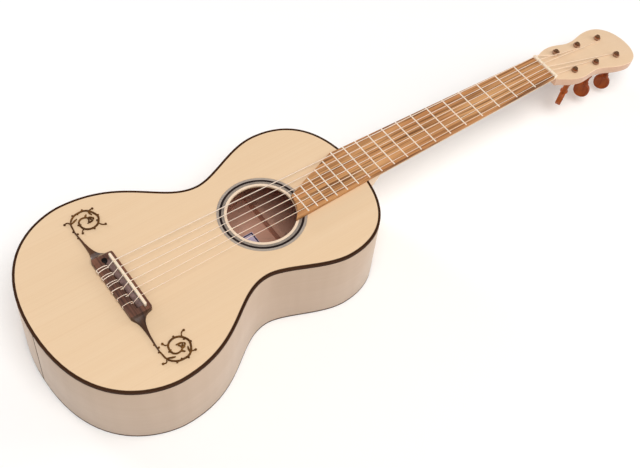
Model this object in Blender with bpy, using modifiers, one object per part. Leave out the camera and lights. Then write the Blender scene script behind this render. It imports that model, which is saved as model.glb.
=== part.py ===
# Romantic guitar, laid face up on its flat back.
# Frame: the origin is on the back's outer face, midway along the body on the centre line.
# +X is the treble side, +Y points to the head and +Z is up through the soundboard.

import math

import bmesh
import bpy
from mathutils import Matrix, Vector

# Fits
GAP = 0.0003                    # between pieces that are glued or seated
PEG_CLEARANCE = 0.0002          # between a peg's shaft and its hole
STRING_CLEARANCE = 0.0003       # round a string where it is held
WINDING_GAP = 0.00045           # between the turns of a winding

# Body outline: distances are measured along the body from its head end
BODY_LENGTH = 0.4320
BODY_DEPTH = 0.1030
UPPER_BOUT_WIDTH = 0.2088
WAIST_WIDTH = 0.1514
LOWER_BOUT_WIDTH = 0.2702
UPPER_BOUT_FROM_TOP = 0.0839
WAIST_FROM_TOP = 0.1801
LOWER_BOUT_FROM_TOP = 0.3280
SHOULDER_REACH = 0.0880         # how far the outline stays flat beside the neck
UPPER_BOUT_RISE = 0.0354        # curve handles above and below each bout and the waist
UPPER_BOUT_FALL = 0.0337
WAIST_RISE = 0.0253
WAIST_FALL = 0.0450
LOWER_BOUT_RISE = 0.0818
LOWER_BOUT_FALL = 0.0140
TAIL_REACH = 0.1265
BACK_SPREAD = 0.0033            # the ribs lean outwards this much at the back, most below the waist
BACK_SPREAD_AT = 0.593          # where they lean most, as a share of the body's length
BACK_SPREAD_REACH = 0.350       # how far the lean goes on to either side, as a share of it

# Body shell
SOUNDBOARD_THICKNESS = 0.0025
BACK_THICKNESS = 0.0025
RIB_THICKNESS = 0.0022
TOP_BINDING_WIDTH = 0.0028
TOP_BINDING_HEIGHT = 0.0043
BACK_BINDING_WIDTH = 0.0022
BACK_BINDING_HEIGHT = 0.0020
GRAFT_WIDTH = 0.0015            # dark strip where the ribs meet at the tail
LINING_WIDTH = 0.0055
LINING_HEIGHT = 0.0130
NECK_BLOCK_WIDTH = 0.0600
NECK_BLOCK_LENGTH = 0.0340
TAIL_BLOCK_WIDTH = 0.0560
TAIL_BLOCK_LENGTH = 0.0180

# Bars and label: their places from the body's head end are shares of its length
BAR_END_HEIGHT = 0.0040
BAR_TAPER = 0.0260
BAR_SCOOP_SHARE = 0.5           # halfway along its taper a bar has risen
BAR_SCOOP_RISE = 1.6            # to this many times its end's height
TOP_BAR_WIDTH = 0.0070
TOP_BAR_HEIGHT = 0.0140
TOP_BARS_AT = (0.139, 0.440, 0.593, 0.861)
BACK_BAR_WIDTH = 0.0070
BACK_BAR_HEIGHT = 0.0140
BACK_BARS_AT = (0.2245, 0.4540, 0.6940)
LABEL_WIDTH = 0.0850
LABEL_LENGTH = 0.0600
LABEL_THICKNESS = 0.0003
LABEL_AT = 0.2778

# Soundhole and rosette
SOUNDHOLE_RADIUS = 0.0410
SOUNDHOLE_FROM_TOP = 0.1376
ROSETTE_RADIUS = 0.0530
ROSETTE_DEPTH = 0.0012
ROUND_STEPS = 48

# Scale, neck and fingerboard
SCALE_LENGTH = 0.6300
BODY_FRET = 12
FRET_COUNT = 18
COMPENSATION = 0.0010           # the saddle stands this far behind the scale length
NECK_PITCH = math.radians(1.1)
NUT_BOARD_WIDTH = 0.0432
BODY_BOARD_WIDTH = 0.0569
BOARD_THICKNESS = 0.0040
FRET_WIDTH = 0.0016
FRET_HEIGHT = 0.0010
FRET_TANG_WIDTH = 0.0006
FRET_TANG_DEPTH = 0.0014
FRET_INSET = 0.0004
DIAGONAL_START_FRET = 13
NUT_WIDTH = 0.0052
NUT_RISE = 0.0009               # top of the nut above the string's lower side
FIRST_ACTION = 0.0006           # string above the plane of the frets at the nut
NECK_DEPTH_NUT = 0.0165
NECK_DEPTH_HEEL = 0.0190
NECK_ROUNDNESS = 1.25           # 1 is an ellipse, more is closer to a V
HEEL_TOP_WIDTH = 0.0460
HEEL_TOP_REACH = 0.0560
HEEL_FOOT_WIDTH = 0.0270
HEEL_FOOT_REACH = 0.0170
HEEL_LIFT = 0.0012              # foot of the heel above the back's outer face
HEEL_WIDENING = 1.2             # powers that shape the heel's width and reach from foot to top
HEEL_SWEEP = 2.4
HEEL_BLUNTNESS = 0.9
HEEL_TOP_SHARE = 0.55           # share of the neck's depth that the heel rises into
NECK_INLET = 0.0120             # how far the uncut neck runs into the body's outline
HEEL_INLET = 0.0060
NUT_ROUND_SHARE = 0.35

# Head
HEAD_TILT = math.radians(9.9)   # against the neck
HEAD_DROP = 0.0030              # face of the head below the neck's top plane
HEAD_THICKNESS = 0.0110
HEAD_LENGTH = 0.1680
HEAD_LOWER_WIDTH = 0.0668
HEAD_WAIST_WIDTH = 0.0588
HEAD_UPPER_WIDTH = 0.0776
HEAD_LOWER_AT = 0.0430          # distances from the nut
HEAD_WAIST_AT = 0.0750
HEAD_UPPER_AT = 0.1310
HEAD_FLARE = (0.0030, 0.0120)   # curve handles of the head's outline, from the nut to its top
HEAD_LOWER_HANDLES = (0.0200, 0.0130)
HEAD_WAIST_HANDLES = (0.0110, 0.0200)
HEAD_UPPER_HANDLES = (0.0260, 0.0240)
HEAD_CROWN_SHARE = 0.55

# Pegs
PEG_ROW_SPACING = 0.0380
PEG_FIRST_AT = 0.0395
PEG_SPACING = 0.0440
PEG_SHAFT_RADIUS = 0.0036
PEG_TIP_HEIGHT = 0.0065
PEG_COLLAR_RADIUS = 0.0056
PEG_BUTTON_RADIUS = 0.0112
PEG_BUTTON_THICKNESS = 0.0070
PEG_BUTTON_AT = 0.0470          # centre of the button below the head's face
PEG_TURNS = (100, 75, 130, 36, 27, 119)   # resting angle of each button, in degrees
PEG_TIP_ROUND = 0.0009

# Bridge: distances are measured back from its front edge
BRIDGE_LENGTH = 0.0880
BRIDGE_WIDTH = 0.0266
BRIDGE_HEIGHT = 0.0070
BRIDGE_WING_REACH = 0.0920      # tip of a wing from the centre line
BRIDGE_TIP_HEIGHT = 0.0016
BRIDGE_TIP_AT = 0.0212
BRIDGE_TIP_WIDTH = 0.0014
SADDLE_AT = 0.0056
SADDLE_WIDTH = 0.0030
SADDLE_LENGTH = 0.0790
SADDLE_RISE = 0.0042            # above the bridge's top
SADDLE_SEAT = 0.0042            # depth of its slot
RAMP_START = 0.0076
RAMP_FOOT_HEIGHT = 0.0038
CHANNEL_START = 0.0132
TIE_BLOCK_START = 0.0153
BRIDGE_CORNER = 0.0022
WING_FRONT = (0.0015, 0.0136, 0.0110, 0.0194)   # curve handles of a wing's front edge, past the block
WING_BACK = (0.0180, 0.0208, 0.0080, 0.0208)    # and of its back edge
WING_SLOPE = (0.0040, 0.42, 0.0120, 1.5)        # and of its top, in heights of the block and the tip
CHANNEL_HEIGHT = 0.0018
CHANNEL_HALF_LENGTH = 0.0367
TIE_HOLE_HEIGHT = 0.0044
CHANNEL_END_RADIUS = 0.0033     # round hole at the channel's bass end
CHANNEL_END_AT = 0.0136
CHANNEL_END_FLOOR = 0.0012

# Strings, bass side first
STRING_RADII = (0.00055, 0.00046, 0.00040, 0.00048, 0.00040, 0.00034)
STRING_SPACING_NUT = 0.00787
STRING_SPACING_SADDLE = 0.01104
WOUND_STRINGS = 3
KNOT_BEND = 0.0008              # reach of each bend in the knots at the bridge
KNOT_TAIL = 0.0030              # free end beyond a knot
WINDING_TURNS = 2.25
WINDING_STEPS = 24

# Scroll ornaments: the vine's centre line, from the wing's tip inwards to the flower,
# as distances from the centre line and back from the bridge's front edge
SCROLL_THICKNESS = 0.0012
VINE_HALF_WIDTH = 0.0008
VINE_ROUTE = (
    (0.0926, 0.0210), (0.0964, 0.0204), (0.1000, 0.0201), (0.1033, 0.0194), (0.1073, 0.0174),
    (0.1106, 0.0139), (0.1130, 0.0095), (0.1137, 0.0044), (0.1134, -0.0016), (0.1103, -0.0067),
    (0.1046, -0.0104), (0.0980, -0.0122), (0.0925, -0.0100), (0.0883, -0.0062), (0.0864, -0.0003),
    (0.0878, 0.0059), (0.0917, 0.0100), (0.0973, 0.0112), (0.1020, 0.0100), (0.1044, 0.0064),
    (0.1040, 0.0022), (0.1010, 0.0000),
)
FLOWER_LOBES = (
    (0.1002, -0.0002, 0.0018), (0.0982, -0.0024, 0.0019), (0.1012, -0.0032, 0.0018),
    (0.0966, 0.0002, 0.0014), (0.1034, -0.0014, 0.0014),
)
HOOK_ROUTES = (
    ((0.0900, -0.0084), (0.0867, -0.0094), (0.0844, -0.0117), (0.0838, -0.0142)),
    ((0.0904, 0.0096), (0.0890, 0.0124), (0.0860, 0.0137)),
    ((0.1101, -0.0068), (0.1108, -0.0096), (0.1111, -0.0121)),
    ((0.1036, 0.0192), (0.1066, 0.0206), (0.1079, 0.0227), (0.1070, 0.0254)),
)
HOOK_HALF_WIDTH = 0.0006
HOOK_BALL_RADIUS = 0.0010
BUD_RADIUS = 0.0010
BUD_PLACES = (0.08, 0.14, 0.24, 0.32, 0.40, 0.49, 0.58, 0.67, 0.76)

BODY_TOP = BODY_LENGTH / 2
HOLE_Y = BODY_TOP - SOUNDHOLE_FROM_TOP
NUT_REACH = SCALE_LENGTH * (1 - 2 ** (-BODY_FRET / 12))
SADDLE_Y = BODY_TOP + NUT_REACH - SCALE_LENGTH - COMPENSATION
BRIDGE_FRONT = SADDLE_Y + SADDLE_AT
TOP_INSET = max(RIB_THICKNESS, TOP_BINDING_WIDTH) + GAP
BACK_INSET = max(RIB_THICKNESS, BACK_BINDING_WIDTH) + GAP
CURVE_STEPS = 10

SPRUCE = (0.86, 0.68, 0.44)
MAPLE = (0.83, 0.72, 0.60)
BINDING_BROWN = (0.16, 0.07, 0.04)
ROSEWOOD = (0.17, 0.07, 0.05)
BOARD_BROWN = (0.42, 0.22, 0.10)
PEG_RED = (0.30, 0.08, 0.03)
CREAM = (0.86, 0.78, 0.58)
ROSETTE_BLACK = (0.03, 0.02, 0.02)
FRET_METAL = (0.80, 0.70, 0.52)


def clear_scene():
    for old in list(bpy.data.objects):
        bpy.data.objects.remove(old, do_unlink=True)


def make_collection(name):
    made = bpy.data.collections.new(name)
    bpy.context.scene.collection.children.link(made)
    return made


def make_material(name, colour, roughness, metallic=0.0):
    material = bpy.data.materials.new(name)
    material.use_nodes = True
    shader = material.node_tree.nodes["Principled BSDF"]
    shader.inputs["Base Color"].default_value = (*colour, 1.0)
    shader.inputs["Roughness"].default_value = roughness
    shader.inputs["Metallic"].default_value = metallic
    return material


# Helpers that turn outlines and profiles into objects

def finish(obj, colour, roughness=0.45, metallic=0.0, angle=35):
    obj.data.materials.clear()
    obj.data.materials.append(make_material(obj.name, colour, roughness, metallic))
    obj.data.shade_smooth()
    obj.data.set_sharp_from_angle(angle=math.radians(angle))
    return obj


def make_cutter(obj):
    for owner in list(obj.users_collection):
        owner.objects.unlink(obj)
    CUTTERS.objects.link(obj)
    obj.hide_render = True
    obj.display_type = "WIRE"
    return obj


def as_mesh(obj):
    bpy.context.view_layer.update()
    evaluated = obj.evaluated_get(bpy.context.evaluated_depsgraph_get())
    mesh = bpy.data.meshes.new_from_object(evaluated)
    work = bmesh.new()
    work.from_mesh(mesh)
    bmesh.ops.remove_doubles(work, verts=work.verts, dist=0.000001)
    work.to_mesh(mesh)
    work.free()
    name = obj.name
    made = bpy.data.objects.new(name + ".solid", mesh)
    made.matrix_world = obj.matrix_world.copy()
    PARTS.objects.link(made)
    bpy.data.objects.remove(obj, do_unlink=True)
    made.name = name
    mesh.name = name
    return made


def flat_solid(name, loops, low, high, plane="XY"):
    """Extrude closed outlines: XY along Z, YZ along X, XZ along Y, between low and high."""
    curve = bpy.data.curves.new(name, "CURVE")
    curve.dimensions = "2D"
    curve.fill_mode = "BOTH"
    curve.extrude = (high - low) / 2
    for loop in loops:
        spline = curve.splines.new("POLY")
        spline.points.add(len(loop) - 1)
        for point, (across, along) in zip(spline.points, loop):
            point.co = (across, along, 0, 1)
        spline.use_cyclic_u = True
    obj = bpy.data.objects.new(name, curve)
    PARTS.objects.link(obj)
    middle = (low + high) / 2
    if plane == "XY":
        obj.location = (0, 0, middle)
    elif plane == "YZ":
        obj.rotation_euler = (math.pi / 2, 0, math.pi / 2)
        obj.location = (middle, 0, 0)
    else:
        obj.rotation_euler = (math.pi / 2, 0, 0)
        obj.location = (0, middle, 0)
    return as_mesh(obj)


def turned(name, profile, steps, closed=False):
    """Turn a profile of (radius, height), which runs down its outer side, about Z."""
    mesh = bpy.data.meshes.new(name)
    points = [(radius, 0, height) for radius, height in profile]
    edges = [(index, index + 1) for index in range(len(points) - 1)]
    if closed:
        edges.append((len(points) - 1, 0))
    mesh.from_pydata(points, edges, [])
    obj = bpy.data.objects.new(name, mesh)
    PARTS.objects.link(obj)
    screw = obj.modifiers.new("turn", "SCREW")
    screw.steps = steps
    screw.render_steps = steps
    screw.use_merge_vertices = True
    screw.merge_threshold = 0.00001
    return as_mesh(obj)


def lofted(name, sections):
    """Skin closed sections of equal point count, with flat ends."""
    work = bmesh.new()
    rings = [[work.verts.new(point) for point in section] for section in sections]
    count = len(rings[0])
    for first, second in zip(rings, rings[1:]):
        for index in range(count):
            after = (index + 1) % count
            work.faces.new((first[index], first[after], second[after], second[index]))
    work.faces.new(list(reversed(rings[0])))
    work.faces.new(rings[-1])
    bmesh.ops.recalc_face_normals(work, faces=work.faces)
    mesh = bpy.data.meshes.new(name)
    work.to_mesh(mesh)
    work.free()
    obj = bpy.data.objects.new(name, mesh)
    PARTS.objects.link(obj)
    return obj


def boolean(obj, other, operation):
    cut = obj.modifiers.new(other.name, "BOOLEAN")
    cut.operation = operation
    cut.solver = "EXACT"
    cut.object = other
    make_cutter(other)


def join_solids(name, objects):
    """Gather separate solids into one object."""
    work = bmesh.new()
    for obj in objects:
        mesh = obj.data
        mesh.transform(obj.matrix_world)
        work.from_mesh(mesh)
        bpy.data.objects.remove(obj, do_unlink=True)
    mesh = bpy.data.meshes.new(name)
    work.to_mesh(mesh)
    work.free()
    made = bpy.data.objects.new(name, mesh)
    PARTS.objects.link(made)
    return made


def cylinder(name, radius, low, high, place, steps=16, across=False):
    """A cylinder along Z, or along Y where across is set, from low to high."""
    bpy.ops.mesh.primitive_cylinder_add(vertices=steps, radius=radius, depth=high - low)
    obj = bpy.context.object
    obj.name = name
    middle = (low + high) / 2
    if across:
        obj.rotation_euler = (math.pi / 2, 0, 0)
        obj.location = (place[0], middle, place[1])
    else:
        obj.location = (place[0], place[1], middle)
    for owner in list(obj.users_collection):
        owner.objects.unlink(obj)
    PARTS.objects.link(obj)
    bpy.context.view_layer.update()
    return obj


def ride(obj, parent):
    obj.parent = parent
    return obj


# Outline of the body

def bezier(start, handle_a, handle_b, end, steps):
    points = []
    for step in range(1, steps + 1):
        t = step / steps
        weights = ((1 - t) ** 3, 3 * (1 - t) ** 2 * t, 3 * (1 - t) * t * t, t ** 3)
        anchors = (start, handle_a, handle_b, end)
        points.append(tuple(sum(w * p[axis] for w, p in zip(weights, anchors)) for axis in (0, 1)))
    return points


def body_half():
    """Treble half of the body's outline, from the neck to the tail."""
    upper = (UPPER_BOUT_WIDTH / 2, BODY_TOP - UPPER_BOUT_FROM_TOP)
    waist = (WAIST_WIDTH / 2, BODY_TOP - WAIST_FROM_TOP)
    lower = (LOWER_BOUT_WIDTH / 2, BODY_TOP - LOWER_BOUT_FROM_TOP)
    tail = (0, -BODY_TOP)
    points = [(0, BODY_TOP)]
    points += bezier(points[0], (SHOULDER_REACH, BODY_TOP), (upper[0], upper[1] + UPPER_BOUT_RISE),
                     upper, CURVE_STEPS)
    points += bezier(upper, (upper[0], upper[1] - UPPER_BOUT_FALL), (waist[0], waist[1] + WAIST_RISE),
                     waist, CURVE_STEPS)
    points += bezier(waist, (waist[0], waist[1] - WAIST_FALL), (lower[0], lower[1] + LOWER_BOUT_RISE),
                     lower, CURVE_STEPS)
    points += bezier(lower, (lower[0], lower[1] - LOWER_BOUT_FALL), (TAIL_REACH, -BODY_TOP),
                     tail, CURVE_STEPS)
    return points


def inset_half(inset):
    """The half outline moved inwards by inset, or outwards where it is negative."""
    points = body_half()
    moved = []
    for index, (x, y) in enumerate(points):
        before = points[max(index - 1, 0)]
        after = points[min(index + 1, len(points) - 1)]
        run = (after[0] - before[0], after[1] - before[1])
        if index in (0, len(points) - 1):
            run = (1, 0) if index == 0 else (-1, 0)
        length = math.hypot(*run)
        moved.append((x + inset * run[1] / length, y - inset * run[0] / length))
    return moved


def whole_outline(inset):
    half = inset_half(inset)
    return half + [(-x, y) for x, y in reversed(half[1:-1])]


def beyond(half, least):
    """The stretch of a half outline that lies at x of least or more, with its ends cut there."""
    kept = []
    for first, second in zip(half, half[1:]):
        if (first[0] >= least) != (second[0] >= least):
            share = (least - first[0]) / (second[0] - first[0])
            kept.append((least, first[1] + share * (second[1] - first[1])))
        if second[0] >= least:
            kept.append(second)
    return kept


def strip(side, outer_inset, inner_inset, top_least, tail_least):
    """Closed outline of a bent strip on one side, cut off beside the centre line at both ends."""
    middle = len(body_half()) // 2
    loops = []
    for inset in (outer_inset, inner_inset):
        half = inset_half(inset)
        loops.append(beyond(half[:middle + 1], top_least) + beyond(half[middle:], tail_least))
    outline = loops[0] + list(reversed(loops[1]))
    return [(side * x, y) for x, y in outline]


def half_width_at(y, inset):
    """Half the body's width at y, inside an inset."""
    half = inset_half(inset)
    widths = []
    for first, second in zip(half, half[1:]):
        if min(first[1], second[1]) <= y <= max(first[1], second[1]) and first[1] != second[1]:
            share = (y - first[1]) / (second[1] - first[1])
            widths.append(first[0] + share * (second[0] - first[0]))
    return min(widths)


def lean_ribs(obj):
    """Widens a piece towards the back, as the ribs lean outwards there."""
    start = BODY_DEPTH - TOP_BINDING_HEIGHT - GAP
    centre = BODY_TOP - BACK_SPREAD_AT * BODY_LENGTH
    reach = BACK_SPREAD_REACH * BODY_LENGTH
    bpy.context.view_layer.update()
    for vertex in obj.data.vertices:
        x, y, z = obj.matrix_world @ vertex.co
        share = abs(y - centre) / reach
        if share < 1 and z < start:
            lean = BACK_SPREAD * math.cos(math.pi / 2 * share) ** 2 * (1 - z / start)
            vertex.co.x *= 1 + lean / half_width_at(y, 0)
    return obj


# Body shell

def make_soundboard():
    low = BODY_DEPTH - SOUNDBOARD_THICKNESS
    board = flat_solid("soundboard", [whole_outline(TOP_INSET)], low, BODY_DEPTH)
    past = BODY_DEPTH + SOUNDBOARD_THICKNESS
    centre = (0, HOLE_Y)
    hole = cylinder("soundhole_cut", SOUNDHOLE_RADIUS, low - GAP, past, centre, ROUND_STEPS)
    rebate = cylinder("rosette_cut", ROSETTE_RADIUS + GAP, BODY_DEPTH - ROSETTE_DEPTH, past, centre,
                      ROUND_STEPS)
    boolean(board, hole, "DIFFERENCE")
    boolean(board, rebate, "DIFFERENCE")
    return finish(board, SPRUCE, 0.4)


def make_rosette():
    """The rings are glued up as one inlay, which the visual surface colours ring by ring."""
    low = BODY_DEPTH - ROSETTE_DEPTH + GAP
    outer = ROSETTE_RADIUS
    inner = SOUNDHOLE_RADIUS
    profile = ((outer, BODY_DEPTH), (outer, low), (inner, low), (inner, BODY_DEPTH))
    ring = turned("rosette", profile, ROUND_STEPS, closed=True)
    ring.location.y = HOLE_Y
    finish(ring, ROSETTE_BLACK, 0.4)


def make_back():
    back = flat_solid("back", [whole_outline(BACK_INSET)], 0, BACK_THICKNESS)
    finish(lean_ribs(back), MAPLE, 0.35)


def make_ribs():
    low = BACK_BINDING_HEIGHT + GAP
    high = BODY_DEPTH - TOP_BINDING_HEIGHT - GAP
    for name, side in (("rib_bass", -1), ("rib_treble", 1)):
        outline = strip(side, 0, RIB_THICKNESS, GAP / 2, GRAFT_WIDTH / 2 + GAP)
        finish(lean_ribs(flat_solid(name, [outline], low, high)), MAPLE, 0.35)
    tail = -BODY_TOP
    half = GRAFT_WIDTH / 2
    graft = [(half, tail), (half, tail + RIB_THICKNESS), (-half, tail + RIB_THICKNESS), (-half, tail)]
    finish(flat_solid("tail_graft", [graft], low, high), BINDING_BROWN, 0.4)


def binding_outline(width):
    """One strip round the whole body, whose ends meet at the neck."""
    outer = beyond(inset_half(0), GAP / 2)
    inner = beyond(inset_half(width), GAP / 2)
    treble = outer + [(0, -BODY_TOP)]
    treble_inner = inner + [(0, -BODY_TOP + width)]
    outline = treble + [(-x, y) for x, y in reversed(outer)]
    return outline + [(-x, y) for x, y in inner] + list(reversed(treble_inner))


def make_bindings():
    low = BODY_DEPTH - TOP_BINDING_HEIGHT
    top = flat_solid("top_binding", [binding_outline(TOP_BINDING_WIDTH)], low, BODY_DEPTH)
    finish(top, BINDING_BROWN, 0.4)
    back = flat_solid("back_binding", [binding_outline(BACK_BINDING_WIDTH)], 0, BACK_BINDING_HEIGHT)
    finish(lean_ribs(back), BINDING_BROWN, 0.4)


def make_linings():
    inside = max(TOP_INSET, RIB_THICKNESS + GAP)
    top = BODY_DEPTH - SOUNDBOARD_THICKNESS - GAP
    bottom = BACK_THICKNESS + GAP
    near_neck = NECK_BLOCK_WIDTH / 2 + GAP
    near_tail = TAIL_BLOCK_WIDTH / 2 + GAP
    for word, side in (("bass", -1), ("treble", 1)):
        outline = strip(side, inside, inside + LINING_WIDTH, near_neck, near_tail)
        upper = flat_solid("top_lining_" + word, [outline], top - LINING_HEIGHT, top)
        finish(lean_ribs(upper), SPRUCE, 0.6)
        lower = flat_solid("back_lining_" + word, [outline], bottom, bottom + LINING_HEIGHT)
        finish(lean_ribs(lower), SPRUCE, 0.6)


def make_blocks():
    low = BACK_THICKNESS + GAP
    high = BODY_DEPTH - SOUNDBOARD_THICKNESS - GAP
    inside = max(TOP_INSET, RIB_THICKNESS + GAP)
    whole = inset_half(inside)
    for name, width, length, toward in (("neck_block", NECK_BLOCK_WIDTH, NECK_BLOCK_LENGTH, 1),
                                        ("tail_block", TAIL_BLOCK_WIDTH, TAIL_BLOCK_LENGTH, -1)):
        half = whole if toward == 1 else list(reversed(whole))
        face = [half[0]]
        for first, second in zip(half, half[1:]):
            if second[0] >= width / 2:
                share = (width / 2 - first[0]) / (second[0] - first[0])
                face.append((width / 2, first[1] + share * (second[1] - first[1])))
                break
            face.append(second)
        inner = half[0][1] - toward * length
        outline = face + [(width / 2, inner), (-width / 2, inner)]
        outline += [(-x, y) for x, y in reversed(face[1:])]
        finish(flat_solid(name, [outline], low, high), SPRUCE, 0.6)


def make_bar(name, y, seat, height, width, up):
    """A cross bar with tapered ends, glued at height seat and standing up or hanging down."""
    inside = max(TOP_INSET, RIB_THICKNESS + GAP) + LINING_WIDTH + GAP
    reach = min(half_width_at(y - width / 2, inside), half_width_at(y + width / 2, inside))
    scoop = (reach - BAR_TAPER * BAR_SCOOP_SHARE, BAR_END_HEIGHT * BAR_SCOOP_RISE)
    profile = [(-reach, 0), (reach, 0), (reach, BAR_END_HEIGHT), scoop, (reach - BAR_TAPER, height)]
    profile += [(-reach + BAR_TAPER, height), (-scoop[0], scoop[1]), (-reach, BAR_END_HEIGHT)]
    sign = 1 if up else -1
    outline = [(x, seat + sign * z) for x, z in profile]
    bar = flat_solid(name, [outline], y - width / 2, y + width / 2, plane="XZ")
    finish(lean_ribs(bar), SPRUCE, 0.6)


def make_inside():
    under = BODY_DEPTH - SOUNDBOARD_THICKNESS - GAP
    floor = BACK_THICKNESS + GAP
    for index, share in enumerate(TOP_BARS_AT, 1):
        y = BODY_TOP - share * BODY_LENGTH
        make_bar(f"top_bar_{index}", y, under, TOP_BAR_HEIGHT, TOP_BAR_WIDTH, False)
    for index, share in enumerate(BACK_BARS_AT, 1):
        y = BODY_TOP - share * BODY_LENGTH
        make_bar(f"back_bar_{index}", y, floor, BACK_BAR_HEIGHT, BACK_BAR_WIDTH, True)
    far = BODY_TOP - LABEL_AT * BODY_LENGTH
    label = [(LABEL_WIDTH / 2, far), (-LABEL_WIDTH / 2, far),
             (-LABEL_WIDTH / 2, far - LABEL_LENGTH), (LABEL_WIDTH / 2, far - LABEL_LENGTH)]
    finish(flat_solid("label", [label], floor, floor + LABEL_THICKNESS), (0.80, 0.79, 0.83), 0.8)


# Neck, fingerboard and head, in the neck's own frame

def fret_y(number):
    """Place of a fret along the neck's frame, whose origin is at the body's edge."""
    return NUT_REACH - SCALE_LENGTH * (1 - 2 ** (-number / 12))


def board_half_width(y):
    share = (NUT_REACH - y) / NUT_REACH
    return (NUT_BOARD_WIDTH + share * (BODY_BOARD_WIDTH - NUT_BOARD_WIDTH)) / 2


def diagonal_x(y):
    """Bass edge of the fingerboard where the diagonal cuts it."""
    start = fret_y(DIAGONAL_START_FRET) - FRET_WIDTH
    end = HOLE_Y + SOUNDHOLE_RADIUS - BODY_TOP
    if y >= start:
        return -board_half_width(y)
    share = (start - y) / (start - end)
    return -board_half_width(start) * (1 - share)


def board_outline():
    start = fret_y(DIAGONAL_START_FRET) - FRET_WIDTH
    centre = HOLE_Y - BODY_TOP
    end_y = centre + SOUNDHOLE_RADIUS * 0.6
    for _ in range(6):
        end_y = centre + math.sqrt(SOUNDHOLE_RADIUS ** 2 - board_half_width(end_y) ** 2)
    last = math.acos(board_half_width(end_y) / SOUNDHOLE_RADIUS)
    near_nut = NUT_REACH - GAP
    outline = [(board_half_width(near_nut), near_nut), (-board_half_width(near_nut), near_nut)]
    outline.append((diagonal_x(start), start))
    arc_steps = 8
    for step in range(arc_steps + 1):
        angle = math.pi / 2 + (last - math.pi / 2) * step / arc_steps
        outline.append((SOUNDHOLE_RADIUS * math.cos(angle), centre + SOUNDHOLE_RADIUS * math.sin(angle)))
    return outline


def make_fingerboard():
    low = -BOARD_THICKNESS
    board = flat_solid("fingerboard", [board_outline()], low, GAP + BOARD_THICKNESS)
    wide = NUT_BOARD_WIDTH
    deep = -BOARD_THICKNESS * 3
    tail = -BODY_TOP
    rise = math.tan(NECK_PITCH)
    beneath = [(tail, GAP + rise * tail), (0, GAP), (NUT_REACH + wide, GAP),
               (NUT_REACH + wide, deep), (tail, deep)]
    under = flat_solid("under_board_cut", [beneath], -wide, wide, plane="YZ")
    ride(under, NECK_FRAME)
    ride(board, NECK_FRAME)
    boolean(board, under, "DIFFERENCE")
    top = GAP + BOARD_THICKNESS
    slots = []
    for number in range(1, FRET_COUNT + 1):
        y = fret_y(number)
        half = FRET_TANG_WIDTH / 2 + GAP
        slot = [(y - half, top - FRET_TANG_DEPTH - GAP), (y + half, top - FRET_TANG_DEPTH - GAP),
                (y + half, top + GAP), (y - half, top + GAP)]
        slots.append(flat_solid(f"slot_{number}", [slot], -wide, wide, plane="YZ"))
    slots = join_solids("fret_slots_cut", slots)
    ride(slots, NECK_FRAME)
    boolean(board, slots, "DIFFERENCE")
    finish(board, BOARD_BROWN, 0.5)


def make_frets():
    seat = GAP + BOARD_THICKNESS + GAP
    for number in range(1, FRET_COUNT + 1):
        y = fret_y(number)
        half = FRET_WIDTH / 2
        tang = FRET_TANG_WIDTH / 2
        top = seat + FRET_HEIGHT - GAP
        foot = seat - FRET_TANG_DEPTH - GAP / 2
        section = [(y - half, seat), (y - tang, seat), (y - tang, foot), (y + tang, foot),
                   (y + tang, seat), (y + half, seat), (y + half, top - half * 0.6),
                   (y + half * 0.5, top), (y - half * 0.5, top), (y - half, top - half * 0.6)]
        bass = diagonal_x(y - half) + FRET_INSET
        treble = board_half_width(y) - FRET_INSET
        fret = flat_solid(f"fret_{number}", [section], bass, treble, plane="YZ")
        finish(ride(fret, NECK_FRAME), FRET_METAL, 0.3, 1.0)


def string_height_at_nut(radius):
    return GAP + BOARD_THICKNESS + FRET_HEIGHT + FIRST_ACTION + radius


def make_nut():
    top = string_height_at_nut(0) + NUT_RISE
    back = NUT_REACH + NUT_WIDTH
    round_off = NUT_WIDTH * NUT_ROUND_SHARE
    section = [(NUT_REACH, GAP), (back, GAP), (back, top - round_off), (back - round_off, top),
               (NUT_REACH, top)]
    half = board_half_width(NUT_REACH)
    nut = flat_solid("nut", [section], -half, half, plane="YZ")
    ride(nut, NECK_FRAME)
    slots = []
    for index, radius in enumerate(STRING_RADII):
        x = (index - 2.5) * STRING_SPACING_NUT
        half_slot = radius + STRING_CLEARANCE
        low = string_height_at_nut(0) - STRING_CLEARANCE
        outline = [(x - half_slot, low), (x + half_slot, low), (x + half_slot, top + GAP),
                   (x - half_slot, top + GAP)]
        slots.append(flat_solid(f"nut_slot_{index}", [outline], NUT_REACH - GAP, back + GAP, plane="XZ"))
    slots = join_solids("nut_slots_cut", slots)
    ride(slots, NECK_FRAME)
    boolean(nut, slots, "DIFFERENCE")
    finish(nut, CREAM, 0.4)


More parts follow.
